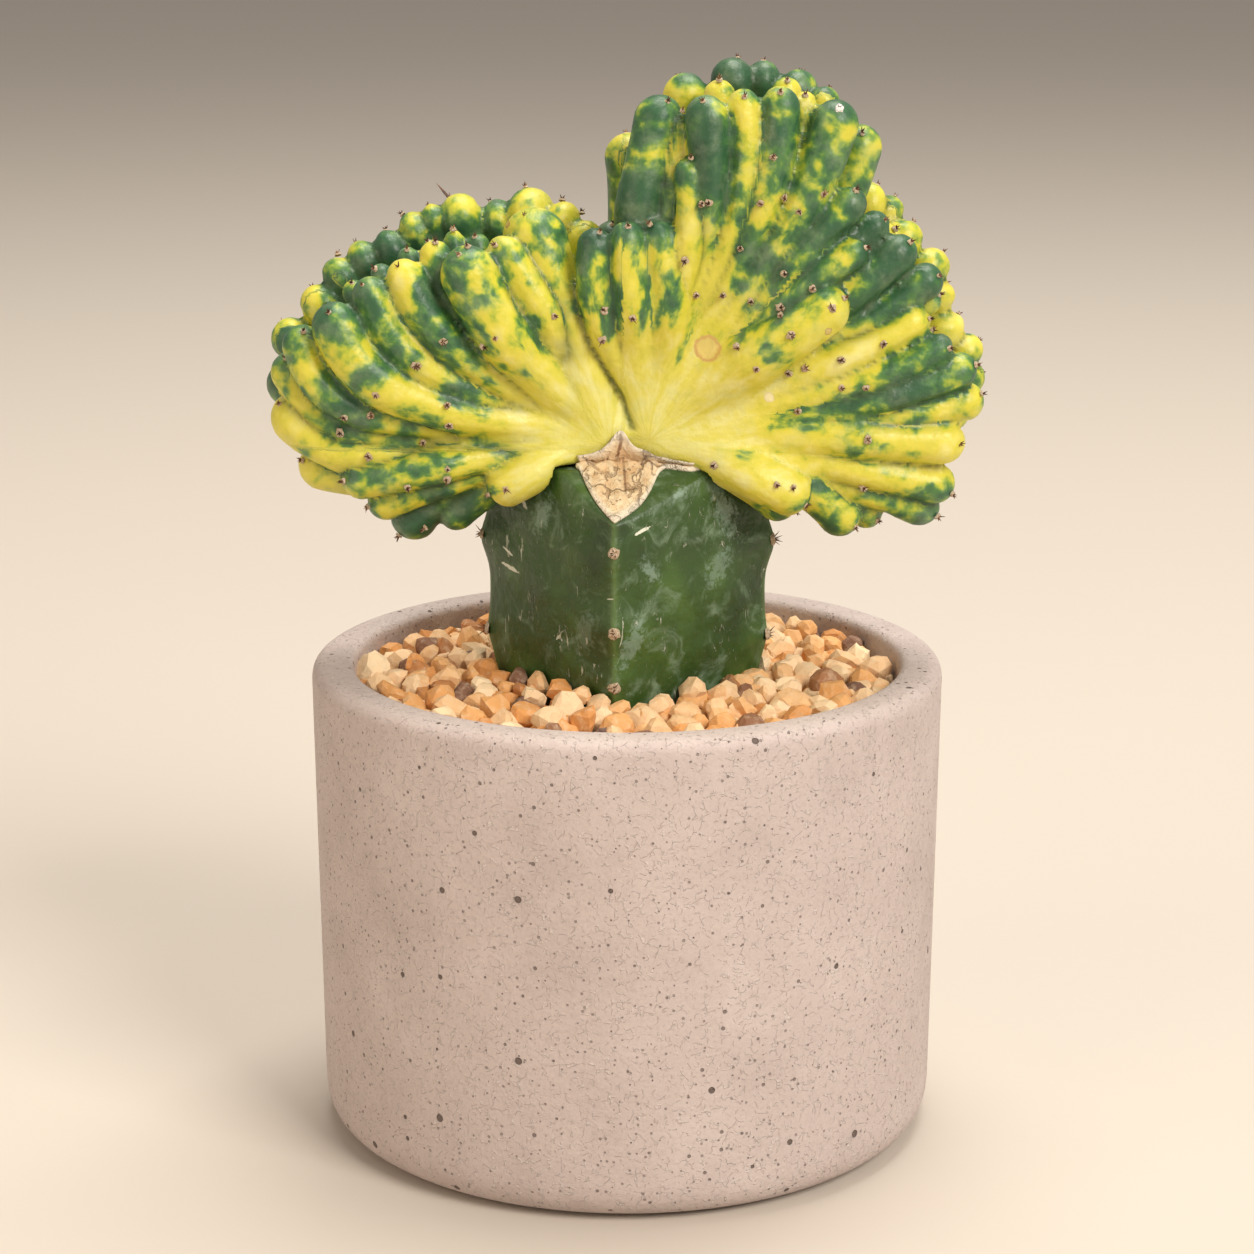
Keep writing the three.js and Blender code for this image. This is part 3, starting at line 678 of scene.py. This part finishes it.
def relax(points, faces, rounds):
    # Each point moves part of the way to the mean of its neighbours, then part of the way back.
    pairs = np.concatenate([faces[:, [k, (k + 1) % 4]] for k in range(4)])
    count = np.bincount(pairs.ravel(), minlength=len(points)).clip(1)
    for move in (0.5, -0.52) * rounds:
        total = np.zeros_like(points)
        for k in range(3):
            total[:, k] = np.bincount(pairs[:, 0], points[pairs[:, 1], k], len(points)) + np.bincount(
                pairs[:, 1], points[pairs[:, 0], k], len(points)
            )
        points = points + move * (total / count[:, None] - points)
    return points


crestPoints = relax(crestPoints, crestFaces, 2)

# Numbers that the crest's skin reads: how green, how near a crease, how far along its finger, and which side.
nearest = np.full((2, len(crestPoints)), 1e3)
lobeNearest = {lobe: np.full(len(crestPoints), 1e3) for lobe in hubs}
green = np.zeros(len(crestPoints))
weight = np.zeros(len(crestPoints))
tone = np.zeros(len(crestPoints))
for index, finger in enumerate(fingers):
    reach = finger["girth"] + 7
    close = np.all(
        (crestPoints > finger["path"].min(0) - reach) & (crestPoints < finger["path"].max(0) + reach), axis=1
    )
    found, share = fingerDistance(finger, crestPoints[close])
    lobeNearest[finger["lobe"]][close] = np.minimum(lobeNearest[finger["lobe"]][close], found)
    if finger["inner"]:
        continue
    first, second = nearest[0, close], nearest[1, close]
    nearest[1, close] = np.minimum(second, np.maximum(first, found))
    tone[close] = np.where(found < first, (index * 0.618) % 1, tone[close])
    nearest[0, close] = np.minimum(first, found)
    pull = np.exp(-np.clip(found, -1, 8) / 0.7)
    green[close] += pull * (finger["green"] * (0.35 + 0.65 * smoothstep(share, 0.3, 0.85)) + 0.05)
    weight[close] += pull
green /= weight + 1e-6
hub = np.where(crestPoints[:, :1] < -1, hubs["left"], hubs["right"])
offset = crestPoints - hub
flowAway = np.linalg.norm(offset[:, [0, 2]], axis=1)
flowAngle = np.arctan2(offset[:, 2], offset[:, 0])
onFinger = np.exp(-((nearest[0] / 2.5) ** 2))
# The valley number is high near a crease. It deepens the carve there and also paints shade into the creases.
valley = np.exp(-np.clip(nearest[1] - nearest[0], 0, 9) / 0.5) * onFinger
hollow = np.exp(-np.clip(nearest[1] - nearest[0], 0, 9) / 1.5) * onFinger
fading = np.where(crestPoints[:, 0] < -1, smoothstep(flowAway, 6, 22), smoothstep(flowAway, 16, 44))
valley *= 0.15 + 0.85 * fading
hollow *= 0.2 + 0.8 * fading
seam = np.exp(-((lobeNearest["left"] - lobeNearest["right"]) / 0.8) ** 2) * (crestPoints[:, 2] > 137)


def pointNormals(points, faces):
    # Each point's outward direction, from the faces round it.
    cross = np.cross(points[faces[:, 2]] - points[faces[:, 0]], points[faces[:, 3]] - points[faces[:, 1]])
    total = np.stack([np.bincount(faces.ravel(), np.repeat(cross[:, k], 4), len(points)) for k in range(3)], -1)
    return total / (np.linalg.norm(total, axis=1, keepdims=True) + 1e-9)


normals = pointNormals(crestPoints, crestFaces)
normals *= np.sign((normals * (crestPoints - [0, 0, 150])).sum(1).mean())
carve = np.maximum(0.35 * valley + 0.8 * hollow, 1.0 * seam)
crestPoints = relax(crestPoints - normals * carve[:, None], crestFaces, 4)
valley = np.maximum(valley, seam)


# Healed marks on the front of the crest: x, z, radius in mm, rim colour and middle colour.
crestScars = [
    (14.6, 152.4, 2.4, "c39457", "dcc27a"),
    (25.9, 143.4, 0.9, "d9c89a", "efe3c0"),
    (-22.0, 174.6, 0.8, "8a6238", "b08a50"),
    (36.0, 156.5, 0.6, "a07a48", "cbb07a"),
]


def crestMaterial():
    # Crest skin: yellow flesh with ragged blue-green patches that run along the fingers, a thin bloom,
    # painted shade darkening the creases and a waxy gloss.
    made, tree, shader, mm = newMaterial("variegated skin")
    flow = addNode(
        tree,
        "CombineXYZ",
        {},
        {0: attribute(tree, "flowAngle"), 1: attribute(tree, "flowAway"), 2: attribute(tree, "flowSide")},
    ).outputs[0]
    patches = noise(tree, flow, 1.0, 2, 0.5, 0.5)
    ragged = noise(tree, flow, 3.4, 3, 0.55, 0.3)
    blots = noise(tree, mm, 0.3, 2, 0.5)
    bias = attribute(tree, "green")
    total = calc(tree, "MULTIPLY_ADD", bias, 0.54, -0.357)
    total = calc(tree, "ADD", total, calc(tree, "MULTIPLY", patches, 1.1))
    total = calc(tree, "MULTIPLY_ADD", calc(tree, "SUBTRACT", ragged, 0.5), 0.55, total)
    total = calc(tree, "MULTIPLY_ADD", calc(tree, "SUBTRACT", blots, 0.5), 0.4, total)
    # Painted shade: the colour turns deeper green near the creases.
    total = calc(tree, "MULTIPLY_ADD", attribute(tree, "valley"), 0.07, total)
    total = calc(tree, "SUBTRACT", total, span(tree, attribute(tree, "flowReach"), 4.0, 26.0, 0.16, 0.0))
    stops = [
        (0.0, "e3dc86"),
        (0.25, "dbd04f"),
        (0.41, "cdc63c"),
        (0.47, "b0b838"),
        (0.52, "809c39"),
        (0.57, "4d7a3c"),
        (0.66, "345f3c"),
        (1.0, "22472f"),
    ]
    base = ramp(tree, total, stops)
    pale = span(tree, attribute(tree, "flowReach"), 4.0, 26.0, 0.3, 0.0)
    base = mixColor(tree, pale, base, "c9c873")
    soft = span(tree, noise(tree, mm, 0.22, 4, 0.6), 0.45, 0.75, 0.0, 0.22)
    base = mixColor(tree, soft, base, "b3c19a")
    # Painted shade: the creases and the seam between the lobes are darkened towards dark olive.
    crease = calc(tree, "POWER", attribute(tree, "valley"), 1.5)
    base = tint(tree, base, crease, 0.8, "34491f")
    plan = addNode(tree, "VectorMath", {"operation": "MULTIPLY", 1: (1.0, 0.0, 1.0)}, {0: mm}).outputs[0]
    depth = addNode(tree, "SeparateXYZ", {}, {0: mm}).outputs[1]
    front = calc(tree, "LESS_THAN", depth, -2.0)
    edge = calc(tree, "MULTIPLY_ADD", noise(tree, mm, 0.9, 3), 1.1, -0.55)
    for x, z, radius, ring, fill in crestScars:
        away = addNode(tree, "VectorMath", {"operation": "DISTANCE", 1: (x, 0.0, z)}, {0: plan})
        away = calc(tree, "ADD", away.outputs["Value"], edge)
        inside = calc(tree, "MULTIPLY", span(tree, away, radius * 0.9, radius * 1.1, 1.0, 0.0), front)
        base = tint(tree, base, inside, 0.7, fill)
        rim = calc(tree, "MULTIPLY", span(tree, away, radius * 0.65, radius * 0.9), inside)
        base = tint(tree, base, rim, 0.7, ring)
    tree.links.new(base, shader.inputs["Base Color"])
    gloss = calc(tree, "MULTIPLY_ADD", noise(tree, mm, 0.5, 3), 0.2, 0.32)
    tree.links.new(gloss, shader.inputs["Roughness"])
    shader.inputs["Subsurface Weight"].default_value = 0.12
    shader.inputs["Subsurface Radius"].default_value = (1.0, 0.8, 0.25)
    shader.inputs["Subsurface Scale"].default_value = 0.003
    addBump(tree, shader, calc(tree, "ADD", noise(tree, mm, 0.9, 4), calc(tree, "MULTIPLY", ragged, 0.4)), 0.16)
    return made


crestValues = {
    "green": green,
    "valley": valley,
    "flowAngle": flowAngle * 4.6 + tone * 0.9,
    "flowAway": flowAway * 0.085,
    "flowSide": np.sign(crestPoints[:, 1]) * 2.5 + crestPoints[:, 1] * 0.03,
    "flowReach": flowAway,
}
crestLook = crestMaterial()
makePiece("crestSkin", crestPoints, crestFaces, crestLook, ["crest"], crestValues)
print("crest faces", len(crestFaces))


def fieldAt(points):
    # The crest's distance at points, from the grid's nearest cells.
    cell = np.round((points - fieldLow) / voxel).astype(int)
    cell = np.clip(cell, 0, np.array(field.shape) - 1)
    return field[cell[..., 0], cell[..., 1], cell[..., 2]]


# Callus: dried skin on the cut shoulders, and a ragged collar that climbs the scion at the ridges.
# Dark folds in the tissue: x, z, half length and half width in mm, tilt in degrees, strength.
callusFolds = [
    (-1.2, 134.5, 3.4, 0.45, 78, 0.85),
    (-0.4, 129.0, 3.2, 0.35, 96, 0.7),
    (3.4, 132.2, 2.4, 0.3, 60, 0.6),
    (-6.0, 130.8, 2.6, 0.3, -30, 0.5),
]


def callusMaterial():
    # Dried corky tissue: tan to cream, wrinkled and cracked, with a pale torn edge.
    made, tree, shader, mm = newMaterial("dried callus")
    warp = addNode(tree, "TexNoise", {"Scale": 0.3, "Detail": 3.0}, {"Vector": mm}).outputs["Color"]
    offset = addNode(tree, "VectorMath", {"operation": "SCALE", "Scale": 7.0}, {0: warp}).outputs[0]
    bent = addNode(tree, "VectorMath", {"operation": "ADD"}, {0: mm, 1: offset}).outputs[0]
    upright = addNode(tree, "Mapping", {"Scale": (1.0, 1.0, 0.4)}, {"Vector": bent}).outputs[0]
    grain = noise(tree, upright, 0.4, 6, 0.68, 0.9)
    base = ramp(tree, grain, [(0.22, "bb9064"), (0.38, "dcb98c"), (0.56, "ecd3ab"), (0.78, "f8eed8")])
    lines = addNode(tree, "Mapping", {"Scale": (1.0, 1.0, 0.3)}, {"Vector": bent}).outputs[0]
    cracks = addNode(tree, "TexVoronoi", {"feature": "DISTANCE_TO_EDGE", "Scale": 0.13}, {"Vector": lines})
    crack = span(tree, cracks.outputs["Distance"], 0.0, 0.03, 1.0, 0.0)
    base = tint(tree, base, crack, 0.42, "8a6240")
    tall = addNode(tree, "Mapping", {"Scale": (1.0, 1.0, 0.22)}, {"Vector": mm}).outputs[0]
    fold = span(tree, noise(tree, tall, 0.42, 3, 0.55, 1.2), 0.57, 0.64)
    base = tint(tree, base, fold, 0.5, "8a5f3a")
    edge = calc(tree, "MULTIPLY_ADD", noise(tree, mm, 0.9, 4, 0.65, 0.6), 1.5, -0.75)
    for place in callusFolds:
        base = addMark(tree, mm, base, place, edge, 0.3, "6f4526")
    base = tint(tree, base, attribute(tree, "edge"), 0.85, "f6ecd6")
    grain = calc(tree, "SUBTRACT", grain, calc(tree, "MULTIPLY", fold, 0.5))
    tree.links.new(base, shader.inputs["Base Color"])
    shader.inputs["Roughness"].default_value = 0.85
    addBump(tree, shader, calc(tree, "SUBTRACT", grain, calc(tree, "MULTIPLY", crack, 0.5)), 1.0)
    return made


callus = {"sides": 288, "skin": 0.9, "climb": 6.2, "thick": 0.55, "wings": (3.0, 4.6)}


def raggedLine(seed, strength):
    # A closed wavy line of several random waves.
    waves = np.random.default_rng(seed)
    a = np.arange(callus["sides"]) / callus["sides"] * tau
    total = sum(waves.normal() / k**0.6 * np.sin(k * a + waves.random() * tau) for k in range(5, 46, 4))
    return strength * total / 2


def callusSheet():
    # Rows from the outer edge over the shoulder, up the scion as a collar, then back down underneath.
    a = np.arange(callus["sides"]) / callus["sides"] * tau + stock["turn"]
    ridge = stockRadius(a, stock["foot"])
    cut = smoothstep(stock["top"] - shoulderHeight(ridge, a), 0, 0.9)
    fromFront = (a - stock["turn"] + tau / 4 + tau / 4) % (tau / 2) - tau / 4
    wing = np.where(fromFront > 0, callus["wings"][1], callus["wings"][0])
    wing = wing * np.exp(-(((np.abs(fromFront) - 0.5) / 0.26) ** 2))
    rim = (ridge - 0.35 - wing + np.clip(raggedLine(3, 0.25), -0.5, 0.2)) * cut + 14 * (1 - cut)
    turn = ((a - stock["turn"]) / (tau / 4)) % 1
    turn = np.minimum(turn, 1 - turn)
    peak = 0.4 * np.exp(-((turn / 0.42) ** 4)) + 0.6 * np.exp(-((turn / 0.09) ** 2))
    top = stock["top"] + 0.8 + callus["climb"] * peak + raggedLine(8, 0.6) * (0.3 + 0.7 * cut)
    rays = np.arange(30, 6, -0.2)
    heights = np.linspace(0, 1, 14)[:, None]
    rise = stock["top"] - 4 + (top - stock["top"] + 4) * heights
    across = rays[:, None, None] + 0 * rise
    spots = np.stack([across * np.cos(a), across * np.sin(a), rise + 0 * across], -1)
    solid = fieldAt(spots) < 0.15
    hit = np.where(solid.any(0), rays[solid.argmax(0)], 12)
    collar = np.minimum(hit + 0.35, rim - 0.4)
    for _ in range(5):
        collar = 0.5 * collar + 0.25 * (np.roll(collar, 1, 1) + np.roll(collar, -1, 1))
    shares = np.linspace(1, 0, 26)[:, None]
    inner = collar[0]
    skirt = inner + (rim - inner) * shares
    wrinkle = 0.2 * np.sin(a * 23 + skirt * 1.3) * np.sin(skirt * 0.9 + a * 5)
    pleat = 0.75 * np.abs(np.sin(a * 11 + 0.6 * np.sin(skirt * 0.7))) * (1 - shares**3)
    wrinkle = (wrinkle + pleat - 0.1) * (1 - shares**6)
    lip = 0.45 * np.exp(-(((shares - 0.95) / 0.05) ** 2)) * cut
    skirtZ = shoulderHeight(skirt, a) + callus["skin"] * (1 - 0.6 * shares**10) + wrinkle + lip
    collarZ = np.maximum(rise, shoulderHeight(collar, a) + callus["skin"])
    curl = 0.9 * heights**3
    outer, back = collar + curl, (collar + curl)[::-1] - callus["thick"]
    radius = np.concatenate([rim[None] - 0.3, skirt, outer, back, inner[None] - 2])
    ends = shoulderHeight(rim, a)[None] + 0.1, shoulderHeight(inner - 2, a)[None] + 0.1
    height = np.concatenate([ends[0], skirtZ, collarZ, collarZ[::-1] - 0.2, ends[1]])
    nearRim = np.exp(-(((1 - shares) / 0.09) ** 2)) + 0 * a
    nearTop = np.exp(-(((1 - heights) / 0.15) ** 2)) + 0 * a
    pale = np.concatenate([0 * a[None] + 1, nearRim, nearTop, nearTop[::-1], 0 * a[None]])
    points = np.stack([radius * np.cos(a), radius * np.sin(a), height], -1)
    return points.reshape(-1, 3), gridFaces(len(radius), len(a), True), pale.ravel()


callusPoints, callusFaces, callusEdge = callusSheet()
callusLook = callusMaterial()
callusValues = {"edge": callusEdge}
makePiece("graftCallus", callusPoints, callusFaces, callusLook, ["graft_callus"], callusValues)


# Areoles: woolly pads with short spines along each finger's outer line and on the stock's ridges.
def woolMaterial():
    # Wool of an areole: cream to tan felt, near white on the big tuft.
    made, tree, shader, mm = newMaterial("areole wool")
    grain = noise(tree, mm, 2.5, 4, 0.7)
    base = ramp(tree, grain, [(0.3, "9a7a5c"), (0.5, "cbb394"), (0.7, "ece0cb")])
    base = mixColor(tree, attribute(tree, "tuft"), base, "fbf9f2")
    tree.links.new(base, shader.inputs["Base Color"])
    shader.inputs["Roughness"].default_value = 0.95
    addBump(tree, shader, grain, 0.5)
    return made


def spineMaterial():
    # Spines: dark reddish brown, paler in streaks.
    made, tree, shader, mm = newMaterial("spine horn")
    base = ramp(tree, noise(tree, mm, 0.8, 2), [(0.35, "3b241a"), (0.55, "6e4730"), (0.75, "c9a77f")])
    tree.links.new(base, shader.inputs["Base Color"])
    shader.inputs["Roughness"].default_value = 0.55
    return made


def unit(v):
    return v / np.linalg.norm(v, axis=-1, keepdims=True)


spots, outs, sizes = [], [], []
for finger in fingers:
    if finger["inner"]:
        continue
    for order, at in enumerate(finger["areoles"]):
        k = min(at / finger["length"], 1) * (crest["samples"] - 1)
        low = int(min(k, crest["samples"] - 2))
        centre = finger["path"][low] + (finger["path"][low + 1] - finger["path"][low]) * (k - low)
        tangent = unit(finger["path"][low + 1] - finger["path"][low])
        out = np.array([0.0, finger["side"], 0.0])
        out = unit(out - tangent * (out @ tangent))
        if order == 0:
            out = unit(out + tangent * 0.9)
        out = unit(out + draw.normal(0, 0.12, 3))
        steps = centre + out * np.arange(0, 14, 0.2)[:, None]
        outside = fieldAt(steps) > 0
        if not outside.any() or (order and draw.random() < 0.3):
            continue
        spots.append(steps[outside.argmax()] - out * 0.15)
        outs.append(out)
        sizes.append((0.55 if order == 0 else 0.7) * (0.85 + 0.35 * draw.random()))
for quarter in range(4):
    angle = stock["turn"] + quarter * tau / 4
    for z in stock["front"] if quarter % 2 else stock["side"]:
        out = unit(np.array([math.cos(angle), math.sin(angle), 0.12]))
        radius = stockRadius(np.array(angle), z) - 0.1
        spots.append(np.array([radius * math.cos(angle), radius * math.sin(angle), z]))
        outs.append(out)
        sizes.append(1.15)
spots, outs, sizes = np.array(spots), np.array(outs), np.array(sizes)


def basis(outs):
    # Two directions across each outward direction.
    helper = np.where(np.abs(outs[:, 2:]) > 0.8, [[1.0, 0, 0]], [[0.0, 0, 1]])
    first = unit(np.cross(helper, outs))
    return first, np.cross(outs, first)


first, second = basis(outs)
padSides, padShare = 12, np.array([1.0, 0.86, 0.5, 0.12])
padRise = np.array([-0.25, 0.3, 0.46, 0.4])
turnAngle = np.arange(padSides) / padSides * tau
lump = 1 + 0.14 * draw.normal(0, 1, (len(spots), 1, padSides))
tuftAt = np.array([39.0, -13, 195.5])
tuft = (np.argmin(((spots - tuftAt) ** 2).sum(1)) == np.arange(len(spots))).astype(float)
lump *= 1 + 0.9 * tuft[:, None, None]
padR = sizes[:, None, None] * padShare[:, None] * lump
pads = (
    spots[:, None, None, :]
    + padR[..., None] * np.cos(turnAngle)[:, None] * first[:, None, None, :]
    + padR[..., None] * np.sin(turnAngle)[:, None] * second[:, None, None, :]
    + ((sizes * (1 + 1.6 * tuft))[:, None] * padRise)[:, :, None, None] * outs[:, None, None, :]
)
padFace = gridFaces(len(padShare), padSides)
padFaces = (padFace[None] + (np.arange(len(spots)) * len(padShare) * padSides)[:, None, None]).reshape(-1, 4)
padPoints = len(padShare) * padSides
caps = [list(range((k + 1) * padPoints - padSides, (k + 1) * padPoints)) for k in range(len(spots))]
woolLook = woolMaterial()
padTuft = {"tuft": np.repeat(tuft, padPoints)}
makePiece("areoles", pads.reshape(-1, 3), padFaces.tolist() + caps, woolLook, values=padTuft)

spineEach = 5
thornAt = np.array([-34.5, 3, 177.0])
spineCount = len(spots) * spineEach
lean = draw.random(spineCount) * 0.85 + 0.15
thorn = np.zeros(spineCount)
thorn[np.argmin(((np.repeat(spots, spineEach, 0) - thornAt) ** 2).sum(1))] = 1
spin = (np.arange(spineCount) % spineEach + draw.random(spineCount) * 0.7) / spineEach * tau
firstE, secondE, outE = (np.repeat(v, spineEach, 0) for v in (first, second, outs))
toward = unit(outE + lean[:, None] * (np.cos(spin)[:, None] * firstE + np.sin(spin)[:, None] * secondE))
spineLength = np.repeat(sizes, spineEach) * (0.9 + 1.1 * draw.random(spineCount)) + 2.6 * thorn
spineFirst, spineSecond = basis(toward)
start = np.repeat(spots, spineEach, 0) + 0.2 * outE
start += 0.25 * np.repeat(sizes, spineEach)[:, None] * (toward - outE)
corner = np.arange(4) / 4 * tau
rings = []
for share, thick in ((0.0, 0.15), (0.5, 0.11), (1.0, 0.02)):
    middle = start + toward * (spineLength * share)[:, None]
    ring = middle[:, None, :] + (thick * (1 + 1.2 * thorn))[:, None, None] * (
        np.cos(corner)[:, None] * spineFirst[:, None, :] + np.sin(corner)[:, None] * spineSecond[:, None, :]
    )
    rings.append(ring)
spinePoints = np.stack(rings, 1).reshape(-1, 3)
spineFace = np.concatenate([gridFaces(3, 4), [[3, 2, 1, 0], [8, 9, 10, 11]]])
spineFaces = (spineFace[None] + (np.arange(spineCount) * 3 * len(corner))[:, None, None]).reshape(-1, 4)
spineLook = spineMaterial()
makePiece("spines", spinePoints, spineFaces, spineLook, smooth=False)


# Gravel: angular stones, each cut by random planes, settled in a few layers round the stock.
gravel = {"wall": 87.8, "middle": 90.0, "small": 2.3, "large": 3.7, "tries": 5200}


def stoneMaterial():
    # Quartz gravel: each stone has its own tone from cream through golden to grey brown, with a fine grain.
    made, tree, shader, mm = newMaterial("quartz gravel")
    tone = attribute(tree, "tone")
    stops = [
        (0.0, "f3d9b0"),
        (0.35, "eac190"),
        (0.58, "e2ab6c"),
        (0.74, "d9954f"),
        (0.84, "b67a45"),
        (0.9, "7d5740"),
        (1.0, "65504a"),
    ]
    base = ramp(tree, tone, stops)
    grain = noise(tree, mm, 0.5, 6, 0.7, 0.4)
    base = mixColor(tree, span(tree, grain, 0.45, 0.8, 0.0, 0.55), base, "efdcbd")
    base = mixColor(tree, span(tree, grain, 0.42, 0.22, 0.0, 0.5), base, "9a6a3a")
    tree.links.new(base, shader.inputs["Base Color"])
    shader.inputs["Roughness"].default_value = 0.72
    addBump(tree, shader, grain, 0.35)
    return made


def bedHeight(radius):
    share = np.clip((radius - 20) / (boreAtRim - 20), 0, 1)
    return gravel["middle"] + (gravel["wall"] - gravel["middle"]) * share


def settle():
    # Stones drawn in a disc, each kept if it stands clear of those kept before, in three layers.
    pick = np.random.default_rng(77)
    kept = []
    for layer, spacing in ((-3.4, 0.95), (-1.4, 0.9), (0.2, 1.0)):
        level = []
        for _ in range(gravel["tries"]):
            size = gravel["small"] + (gravel["large"] - gravel["small"]) * pick.random() ** 1.3
            radius = math.sqrt(pick.random()) * (boreAtRim - size * 0.95)
            angle = pick.random() * tau
            if radius < stockRadius(np.array(angle), 90) + size * 0.72:
                continue
            x, y = radius * math.cos(angle), radius * math.sin(angle)
            z = bedHeight(radius) + layer - size * 0.6 + pick.normal() * 0.35
            if level:
                others = np.array(level)
                gap = np.hypot(others[:, 0] - x, others[:, 1] - y)
                if (gap < (others[:, 3] + size) * 0.86 * spacing).any():
                    continue
            level.append((x, y, z, size))
        kept += level
    return np.array(kept)


def roundBall(level):
    # A unit ball of triangles, cut from an icosahedron.
    ball = bmesh.new()
    bmesh.ops.create_icosphere(ball, subdivisions=level, radius=1)
    points = np.array([v.co[:] for v in ball.verts])
    faces = np.array([[v.index for v in f.verts] for f in ball.faces])
    ball.free()
    return points, faces


def stones(places, level):
    # Each stone is a ball held inside nine random planes, stretched and turned.
    pick = np.random.default_rng(5)
    ball, faces = roundBall(level)
    count = len(places)
    normals = unit(pick.normal(0, 1, (count, 9, 3)))
    reach = 0.58 + 0.27 * pick.random((count, 9))
    facing = np.einsum("nk,cpk->cnp", ball, normals).clip(1e-3)
    radius = np.minimum((reach[:, None, :] / facing).min(-1), 1.15)
    local = ball[None] * radius[..., None] * (0.8 + 0.4 * pick.random((count, 1, 3)))
    turn, _ = np.linalg.qr(pick.normal(0, 1, (count, 3, 3)))
    turn[:, :, 0] *= np.sign(np.linalg.det(turn))[:, None]
    world = np.einsum("cnk,cjk->cnj", local, turn) * places[:, 3][:, None, None] + places[:, None, :3]
    allFaces = (faces[None] + (np.arange(count) * len(ball))[:, None, None]).reshape(-1, 3)
    tone = np.repeat(pick.beta(1.15, 1.45, count), len(ball))
    return world.reshape(-1, 3), allFaces, tone


places = settle()
print("stones", len(places))
stonePoints, stoneFaces, stoneTone = stones(places, 2)
stoneLook = stoneMaterial()
makePiece("stones", stonePoints, stoneFaces, stoneLook, ["gravel"], {"tone": stoneTone}, smooth=False)
bedProfile = np.array([(51.4, 77.4), (51.6, 83.2), (20.5, 86.0), (17.2, 86.0), (17.2, 77.4)])
bedPoints, bedFaces = turned(bedProfile, 128)
makePiece("gravelBed", bedPoints, bedFaces, soilLook)


# Stage: a plain pale floor and soft light from a big window at the right, a weaker fill and one from above.
floorMesh = bpy.data.meshes.new("floor")
floorMesh.from_pydata([(-6, -6, 0), (6, -6, 0), (6, 6, 0), (-6, 6, 0)], [], [(0, 1, 2, 3)])
floorLook, _, floorShader, _ = newMaterial("plain floor")
floorShader.inputs["Base Color"].default_value = srgb("cdc4b8")
floorShader.inputs["Roughness"].default_value = 0.8
floorMesh.materials.append(floorLook)
floor = bpy.data.objects.new("floor", floorMesh)
floor.location.z = -0.0003
scene.collection.objects.link(floor)

world = bpy.data.worlds.new("studio")
world.use_nodes = True
world.node_tree.nodes["Background"].inputs["Color"].default_value = srgb("fff7ef")
world.node_tree.nodes["Background"].inputs["Strength"].default_value = 0.38
scene.world = world


def softLight(name, at, aim, size, power, code):
    # A square area light at a place, turned to a point.
    light = bpy.data.lights.new(name, "AREA")
    light.shape = "SQUARE"
    light.size = size
    light.energy = power
    light.color = srgb(code)[:3]
    made = bpy.data.objects.new(name, light)
    made.location = at
    made.rotation_euler = (Vector(aim) - Vector(at)).to_track_quat("-Z", "Y").to_euler()
    scene.collection.objects.link(made)


softLight("window", (1.15, -1.35, 1.45), (0, 0, 0.12), 0.9, 42.0, "fff8f0")
softLight("fill", (-1.4, -1.0, 0.8), (0, 0, 0.1), 1.2, 9.5, "ffe6cc")
softLight("top", (0.15, 0.4, 1.7), (0, 0, 0.12), 0.9, 23.0, "fffaf2")

print("stage set")
